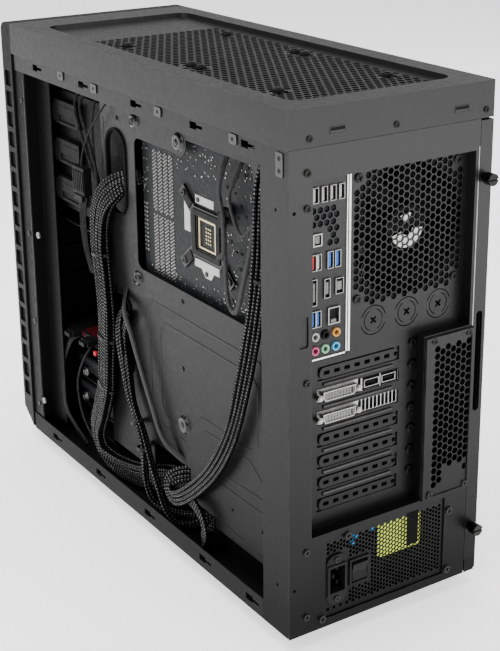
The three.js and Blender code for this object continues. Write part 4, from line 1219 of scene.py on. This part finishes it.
def make_rear_trim():
    """Details of the top cover's rear band and of the corners."""
    band = Solid()
    for i, u in enumerate((85, -1, -97)):
        screw(band, "y", REAR, u, 455, 2.8, 1.2, 10 + 30 * i)
    band.make("screws_band", SCREW_BLACK, slot="bare_steel", bevel=0.2)
    # The slots' floors are painted shadow: a thin dark film in each mouth, in place of the shade inside it.
    marks, floors = Solid(), Solid()
    for u in (58, -70):
        mouth = rect(around(u, 7), around(459, 2.4))
        marks.plate("y", (REAR + 0.01, REAR + 0.5), rect(around(u, 7.7), around(459, 3.1)), [mouth])
        marks.block(around(u, 6.9), (REAR + 0.01, REAR + 0.4), (456.7, 458.8))
        floors.block(around(u, 6.95), (REAR + 0.01, REAR + 0.1), (458.81, 461.3))
    marks.make("band_slots", PAINT_REAR_SHADE_AND_SHEEN, slot="painted_steel", bevel=0.15)
    floors.make("band_slot_painted_shadow", PLASTIC_DARK, slot="black_plastic")
    edge = Solid()
    edge.block((FACE_LEFT + 0.3, FACE_LEFT + 1.3), (REAR + 0.01, REAR + 0.25), (262, 424))
    edge.make("rear_bright_edge", NICKEL, slot="bare_steel")


def make_rear():
    make_rear_panel()
    make_rear_screws()
    make_vent_panel()
    for i in (1, 4, 5, 6, 7):
        make_slot_cover(f"slot_cover_{i}", SLOT_Z[i - 1])
    make_slot_ribs()
    make_graphics_bracket()
    make_io_ports()
    make_fan_sticker()
    make_psu()
    make_rear_trim()


finish_kept_nodes()
make_rear()


# ---- open side ----------------------------------------------------------------------------------

TRAY_FRONT = -84
TRAY_REAR = REAR - 15
HOLE_Y = (-73, -32)
DOME = (68, 414)
SIDE = high("top_frame").x


def tray_window():
    """The window over the processor: its top edge steps up behind the dome it goes round."""
    outline = arc((-8, 281), 8, 180, 270, 5)
    outline += arc((182, 281), 8, 270, 360, 5)
    outline += arc((182, 410), 8, 0, 90, 5)
    outline += arc(DOME, 13, 17.9, -112.6, 10)
    outline += arc((-8, 394), 8, 90, 180, 5)
    return outline


def bead(solid, points, width=2.2, lift=0.5):
    """A raised line pressed into the tray."""
    path = [Vector((TRAY + 0.02, u, v)) for u, v in points]
    solid.tube(path, width / 2, 8, lift / (width / 2))


def dome(solid, u, v, radius, height):
    """A pressed mound with a round edge and a dished top."""
    profile = [(radius * 1.12, 0.02), (radius, height * 0.3), (radius * 0.86, height * 0.85), (radius * 0.62, height)]
    profile += [(radius * 0.4, height * 0.8), (radius * 0.34, height * 0.35)]
    solid.lathe("x", (TRAY, u, v), profile, 32)


def make_tray():
    outline = [(TRAY_FRONT, 62), (5, 62), (5, 95), (75, 95), (75, 62), (120, 62), (120, 52), (TRAY_REAR, 52)]
    outline += [(TRAY_REAR, 433), (230, 433), (230, 419), (210, 419), (210, 433), (TRAY_FRONT, 433)]
    holes = [tray_window(), rounded(HOLE_Y, (316, 404), 20), rounded(HOLE_Y, (146, 238), 20)]
    holes += [disc(u, v, 1.7, 12) for u, v in ((-50, 414), (67, 262), (65, 194), (150, 84), (200, 84))]
    tray = Solid()
    tray.plate("x", (TRAY_BACK, TRAY), outline, holes)
    tray.block((TRAY + 0.01, SKIN - 2.4), (TRAY_FRONT, TRAY_REAR), (431.8, 433))
    tray.make("tray_sheet", PAINT, slot="painted_steel", bevel=0.4, replaces=["motherboard_tray"])
    pressed = Solid()
    outer = [(23.7, 120), (72, 120), (104, 145.5), (180, 146), (203, 131), (206, 150), (206, 232), (198, 246), (12, 246)]
    outer += [(4, 238), (4, 150), (12, 124)]
    inner = [(34, 132), (68, 132), (98, 157), (184, 157), (193, 166), (193, 222), (185, 230), (32, 230), (24, 222), (24, 142)]
    for loop in (outer, inner):
        bead(pressed, [*loop, loop[0]])
    bead(pressed, [(132, 113), (222, 117)])
    bead(pressed, [(132, 102), (222, 102)])
    bead(pressed, [(123, 64), (222, 56)])
    bead(pressed, [(-78, 410), (-78, 150)], 1.6)
    pressed.make("tray_beads", PAINT, slot="painted_steel")
    domes = Solid()
    mounds = ((-14, 418, 7), (*DOME, 8), (-17, 261, 7), (66, 137, 8.5))
    for u, v, radius in mounds:
        dome(domes, u, v, radius, 3.0)
    domes.make("tray_domes", PAINT_GLOSS, slot="painted_steel")
    studs = Solid()
    for u, v, radius in mounds:
        ball = [(radius * 0.5, 0.3), (radius * 0.5, 1.6), (radius * 0.42, 2.6), (radius * 0.25, 3.3), (0.4, 3.6)]
        studs.lathe("x", (TRAY, u, v), ball, 20)
    for i, (u, v) in enumerate(((-50, 414), (67, 262), (65, 194))):
        screw(studs, "x", TRAY + 0.02, u, v, 2.4, 1.0, 40 * i)
    studs.make("tray_screws", SCREW_BLACK, slot="bare_steel", bevel=0.2)


def make_board_back():
    """Solder points, pads and screws on the board's back, seen through the tray's window."""
    pins = Solid()
    for column in (7, 17, 27, 37):
        for row, across in enumerate((-2.6, 0, 2.6)):
            for i in range(36):
                z = 273 + i * 3.4 + 1.7 * (row % 2)
                if abs(z - 333) < 2:
                    continue
                pins.prism("x", (BOARD_BACK, BOARD_BACK + 0.7), disc(column + across + 3, z, 0.95, 4))
    for row in range(12):
        for column in (-11, -6.5):
            spot = disc(column, 292 + row * 4.2, 1.15, 8)
            pins.prism("x", (BOARD_BACK, BOARD_BACK + 0.9), spot)
    pins.make("board_pins", ALUMINIUM, slot="bare_steel")
    seeded = random.Random(7)
    dots = Solid()
    for (y0, y1), (z0, z1), count in (((126, 200), (280, 415), 110), ((-14, -2), (345, 412), 30), ((50, 120), (385, 418), 45)):
        for _ in range(count):
            u, v = seeded.uniform(y0, y1), seeded.uniform(z0, z1)
            dots.prism("x", (BOARD_BACK, BOARD_BACK + 0.6), disc(u, v, seeded.uniform(0.4, 0.9), 6))
    for _ in range(50):
        u, v = seeded.uniform(0, 180), seeded.uniform(272, 288)
        dots.prism("x", (BOARD_BACK, BOARD_BACK + 0.6), disc(u, v, seeded.uniform(0.4, 0.8), 6))
    dots.make("board_solder", ALUMINIUM, slot="bare_steel")
    chips = Solid()
    for _ in range(46):
        u, v = seeded.uniform(124, 196), seeded.uniform(284, 412)
        half = (seeded.uniform(0.8, 2.2), seeded.uniform(0.6, 1.4))
        chips.block((BOARD_BACK, BOARD_BACK + 0.8), around(u, half[0]), around(v, half[1]))
    chips.make("board_small_parts", PLASTIC, slot="black_plastic")
    y, z = CPU.y, CPU.z
    pads = Solid()
    pads.block((BOARD_BACK, BOARD_BACK + 0.25), (y - 21, y + 10), (z + 26.5, z + 34))
    pads.block((BOARD_BACK, BOARD_BACK + 0.25), (y - 41, y - 31), (z - 4, z + 26))
    pads.block((BOARD_BACK, BOARD_BACK + 0.25), (y - 24, y + 18), (z - 34, z - 26.5))
    pads.prism("x", (BOARD_BACK, BOARD_BACK + 0.25), [(y - 12, z - 34.1), (y - 6, z - 41), (y + 4, z - 41), (y + 9, z - 34.1)])
    pads.make("board_white_pads", WHITE, slot="black_plastic")
    socket = Solid()
    rim = rect(around(y, 15.2), around(z, 14.2))
    socket.plate("x", (BOARD_BACK, BOARD_BACK + 1.2), rim, [rect(around(y, 12.6), around(z, 12.4))])
    for i in range(5):
        for j in range(3):
            socket.block((BOARD_BACK, BOARD_BACK + 0.9), around(y - 2 + 3.4 * j, 0.8), around(z - 7 + 3.4 * i, 0.9))
    socket.make("socket_frame", BRASS, slot="bare_steel", bevel=0.1)
    screws = Solid()
    reach = 50
    slope = math.atan2(38, 45)
    for su in (-1, 1):
        for sv in (-1, 1):
            u, v = y + su * reach * math.cos(slope), z + sv * reach * math.sin(slope)
            screw(screws, "x", high("cpu_backplate").x + 0.02, u, v, 3.4, 1.4, 20)
    for u, v in ((y - 16, z + 30), (y - 3, z - 37)):
        screws.rod("x", (BOARD_BACK + 0.26, BOARD_BACK + 1.4), u, v, 2.4, 16)
    screws.make("backplate_screws", SCREW_BLACK, slot="bare_steel", bevel=0.2)
    arms = Solid()
    front = high("cpu_backplate").x
    middle = rounded(around(y, 26), around(z, 24), 4)
    arms.plate("x", (front + 0.02, front + 1.0), shrink(middle, 2.4), [rounded(around(y, 17.5), around(z, 16.5), 2)])
    for su in (-1, 1):
        for sv in (-1, 1):
            foot = Vector((y + su * 27, z + sv * 24))
            tip = Vector((y + su * reach * math.cos(slope), z + sv * reach * math.sin(slope)))
            along = (tip - foot).normalized()
            across = Vector((-along.y, along.x)) * 4.2
            back = foot - along * 2
            points = [back - across, tip - across * 0.9, tip + across * 0.9, back + across]
            arms.prism("x", (front + 0.02, front + 0.7), [tuple(p) for p in points])
    arms.make("backplate_ribs", PLASTIC, slot="black_plastic", bevel=0.3)
    cap = Solid()
    cap.block((front + 1, front + 6), around(y + 33, 4), around(z + 24, 7))
    cap.block((front + 1, front + 7), around(y + 43, 7), around(z + 34, 3))
    cap.make("fan_plugs", PLASTIC, slot="black_plastic", bevel=0.8)


def make_side_fittings():
    """Clips, brackets, bolts and plugs on the open side."""
    clips = Solid()
    heads = Solid()
    for y, z in ((-136, 443), (-64, 442), (60, 442), (184, 442)):
        clips.plate("x", (SIDE + 0.02, SIDE + 1.2), rounded(around(y, 6), around(z, 4.4), 2), [disc(y, z, 1.6, 12)])
        screw(heads, "x", SIDE + 0.4, y, z, 2.1, 0.9, 30)
    for z in (430, 440):
        screw(heads, "x", SKIN + 0.3, 252, z, 2.2, 0.8, 10)
    clips.plate("x", (SKIN + 0.02, SKIN + 0.9), rounded(around(252, 5), around(435, 10), 2), [disc(252, z, 1.4, 12) for z in (430, 440)])
    clips.make("flange_clips", PAINT_GLOSS, slot="painted_steel", bevel=0.3)
    post = high("front_frame").x
    for u, v in ((-239, 252), (-239, 49), (-238, 400), (-238, 150)):
        screw(heads, "x", post, u, v, 2.6, 1.0, 35)
    heads.make("screws_side", SCREW_BLACK, slot="bare_steel", bevel=0.2)
    bolts = Solid()
    for i, (y, z) in enumerate(((-214, 256), (-224, 58))):
        screw(bolts, "x", post + 0.02, y, z, 3.4, 1.6, 25 * i)
    bolts.make("frame_bolts", NICKEL, slot="bare_steel", bevel=0.2)
    for i, (y, z) in enumerate(((-191, 66), (-188, 97))):
        bolt = Solid()
        face = high(f"hard_drive_{i + 1}").x
        bolt.rod("x", (face + 0.02, face + 2.2), y, z, 5.2, 24)
        screw(bolt, "x", face + 2.21, y, z, 3.4, 2.0, 25 * i)
        bolt.make(f"drive_bolt_{i + 1}", NICKEL, body=f"drive_{i + 1}", slot="bare_steel", bevel=0.3)
    plug = Solid()
    plug.block((90, 99), (-132, -107), (323, 352))
    plug.block((92, 100.5), (-129, -110), (317, 323.2))
    for i in range(6):
        plug.block((99.01, 100.2), around(-129 + 4 * i, 1.2), (327, 348))
    plug.make("panel_plug", PLASTIC, slot="black_plastic", bevel=0.5)
    ssd_top = high("solid_state_drive")
    ssd_low = low("solid_state_drive")
    trim = Solid()
    trim.block((ssd_top.x + 0.02, ssd_top.x + 0.5), (ssd_low.y + 6, ssd_low.y + 40), inset((ssd_low.z, ssd_top.z), 1.5))
    trim.make("ssd_end_label", RED_LABEL)
    label = Solid()
    label.block((20, ssd_top.x - 3), (ssd_low.y + 30, ssd_top.y - 4), (ssd_top.z + 0.02, ssd_top.z + 0.2))
    label.make("ssd_top_label", RED_LABEL)
    plugs = Solid()
    for y in (-190, -155):
        plugs.block((ssd_top.x + 0.6, ssd_top.x + 11), around(y, 8), around(ssd_low.z + 3.6, 3.4))
        plugs.block((ssd_top.x + 11.01, ssd_top.x + 15), around(y, 6), around(ssd_low.z + 3.2, 2.4))
    plugs.make("drive_plugs", PLASTIC, slot="black_plastic", bevel=0.6)
    for i in (1, 2):
        a, b = low(f"hard_drive_{i}"), high(f"hard_drive_{i}")
        board = Solid()
        board.block((b.x + 0.02, b.x + 0.8), (a.y + 14, b.y - 6), (b.z - 9, b.z - 2))
        board.make(f"drive_board_{i}", PCB, body=f"drive_{i}", slot="circuit_board")
    lamp = Solid()
    lamp.block((76, 79), (-145, -140), (134, 139))
    lamp.make("red_tag", RED, slot="red_plastic", bevel=0.5)
    # Painted highlight: a thin strip of the lighter top paint along the frame post's edge.
    edge = Solid()
    frame_x = high("front_frame").x
    edge.block((frame_x + 0.02, frame_x + 0.5), (-231.6, -230.2), (40, 424))
    edge.make("post_painted_highlight", PAINT_TOP_PAINTED_LIGHT, slot="painted_steel")


def make_bay_details():
    """Ribs and slots of the optical bay's sliding locks."""
    for i in (1, 2, 3):
        node = f"bay_latch_{i}"
        a, b = low(node), high(node)
        z = (a.z + b.z) / 2
        ribs = Solid()
        for k in range(4):
            ribs.block((b.x - 0.6, b.x + 0.4), around(a.y + 6.3 + k * 1.9, 0.5), around(z, 7))
        ribs.block((b.x - 2.2, b.x - 1.0), (a.y + 24, a.y + 62), around(z + 6, 1.2))
        ribs.make(f"latch_ribs_{i}", PLASTIC, body=node, slot="black_plastic", bevel=0.2)


# ---- top ----------------------------------------------------------------------------------------


def make_top_grille():
    node = "top_grille"
    a, b = low(node), high(node)
    fans = [(0, -21), (0, 118)]
    stars = [(x, y) for x in (-57, 57) for y in (-82, 40, 56, 180)]
    arcs = []
    for u, v in fans:
        for start in (20, 110, 200, 290):
            arcs.append((u, v, start))
    def keep(u, v):
        return clear_of(stars, 9.5)(u, v)
    holes = hex_field(8.2, 6.7, (-77, 77), (-128, 223), keep, columns=False)
    grille = Solid()
    star_holes = []
    for u, v in stars:
        for turn in (0, 90, 180, 270):
            star_holes.append(ring_slot(u, v, 6.2, 4.4, turn + 12, turn + 78, 5))
    plate = [*holes, *star_holes]
    grille.plate("z", (a.z, b.z), rounded((a.x, b.x), (a.y, b.y), 14, 8), plate)
    grille.make("top_mesh", PAINT_TOP_PAINTED_LIGHT, slot="painted_steel", bevel=0.2, replaces=[node])
    knobs = Solid()
    heads = Solid()
    for i, (u, v) in enumerate(stars):
        knobs.lathe("z", (u, v, b.z + 0.02), [(5.4, 0), (5.2, 1.6), (4.4, 2.6), (3.0, 2.8)], 24)
        screw(heads, "z", b.z + 2.84, u, v, 2.4, 1.0, 15 * i)
    knobs.make("fan_knobs", PLASTIC_DARK, slot="black_plastic")
    for i, (u, v) in enumerate(((-74, 228), (74, 228), (-74, -200), (74, -200))):
        screw(heads, "z", b.z + 0.02, u, v, 2.2, 1.0, 15 * i)
    heads.make("screws_top", SCREW_BLACK, slot="bare_steel", bevel=0.2)


# ---- front --------------------------------------------------------------------------------------


def make_fascia():
    """The moulded front: a perforated face between two side walls with a ladder of deep vents."""
    back = high("front_fascia").y
    base = BASE + 2
    wall = 2.5
    round_z = TOP - 10
    profile = [(back, base), (back, TOP)]
    profile += arc((FRONT + 10, round_z), 10, 90, 180, 8)
    profile.append((FRONT, BASE + 20))
    ladder = [rounded((FRONT + 4.5, back - 5), around(60 + 22.5 * i, 8.4), 1.5, 2) for i in range(17)]
    shell = Solid()
    for inner, outer in ((RIGHT - wall, RIGHT), (LEFT, LEFT + wall)):
        shell.plate("x", (inner, outer), profile, ladder)
    across = (LEFT + wall + 0.01, RIGHT - wall - 0.01)
    buttons = [centre("power_button"), centre("reset_button")]
    radii = [(high(n).z - low(n).z) / 2 - 1.3 for n in ("power_button", "reset_button")]
    holes = [rect((-82, 82), (60, 270)), rect((-74.5, 74.5), (290, 414.5))]
    holes += [disc(c.x, c.z, radius, 28) for c, radius in zip(buttons, radii)]
    shell.plate("y", (FRONT, FRONT + wall), rect(across, (BASE + 21, round_z)), holes)
    crown = arc((FRONT + 10, round_z), 10, 180, 90, 8)
    crown += [(back, TOP), (back, TOP - wall), *arc((FRONT + 10, round_z), 10 - wall, 90, 180, 8)]
    shell.prism("x", across, crown)
    chin = [(FRONT, BASE + 20.98), (FRONT, BASE + 20), (back, base), (back, base + 3), (FRONT + wall, BASE + 20.98)]
    shell.prism("x", across, chin)
    shell.make("fascia_shell", PLASTIC, slot="black_plastic", bevel=0.5, replaces=["front_fascia"])
    floors = Solid()
    for x in ((RIGHT - wall - 0.6, RIGHT - wall - 0.05), (LEFT + wall + 0.05, LEFT + wall + 0.6)):
        floors.block(x, (FRONT + 3.5, back - 4), (49, 431))
    floors.make("fascia_vent_floors", PLASTIC_DARK, slot="black_plastic")


def make_front():
    make_fascia()
    node = "front_filter"
    a, b = low(node), high(node)
    field = hex_field(5.6, 4.4, (-76, 76), (66, 264), columns=False)
    screen = Solid()
    screen.plate("y", (a.y, a.y + 2), rect((-81.7, 81.7), (60.3, 269.7)), field)
    edge = rect((a.x, b.x), (a.z, b.z))
    screen.plate("y", (b.y - 1.5, b.y), edge, [rect((-78, 78), (64, 266))])
    screen.plate("y", (a.y + 2.01, b.y - 1.51), rect((-80, 80), (62, 268)), [rect((-78.2, 78.2), (63.8, 266.2))])
    screen.make("front_screen", PLASTIC, slot="painted_steel", bevel=0.2, replaces=[node])


make_tray()
make_board_back()
make_side_fittings()
make_bay_details()
make_top_grille()
make_front()
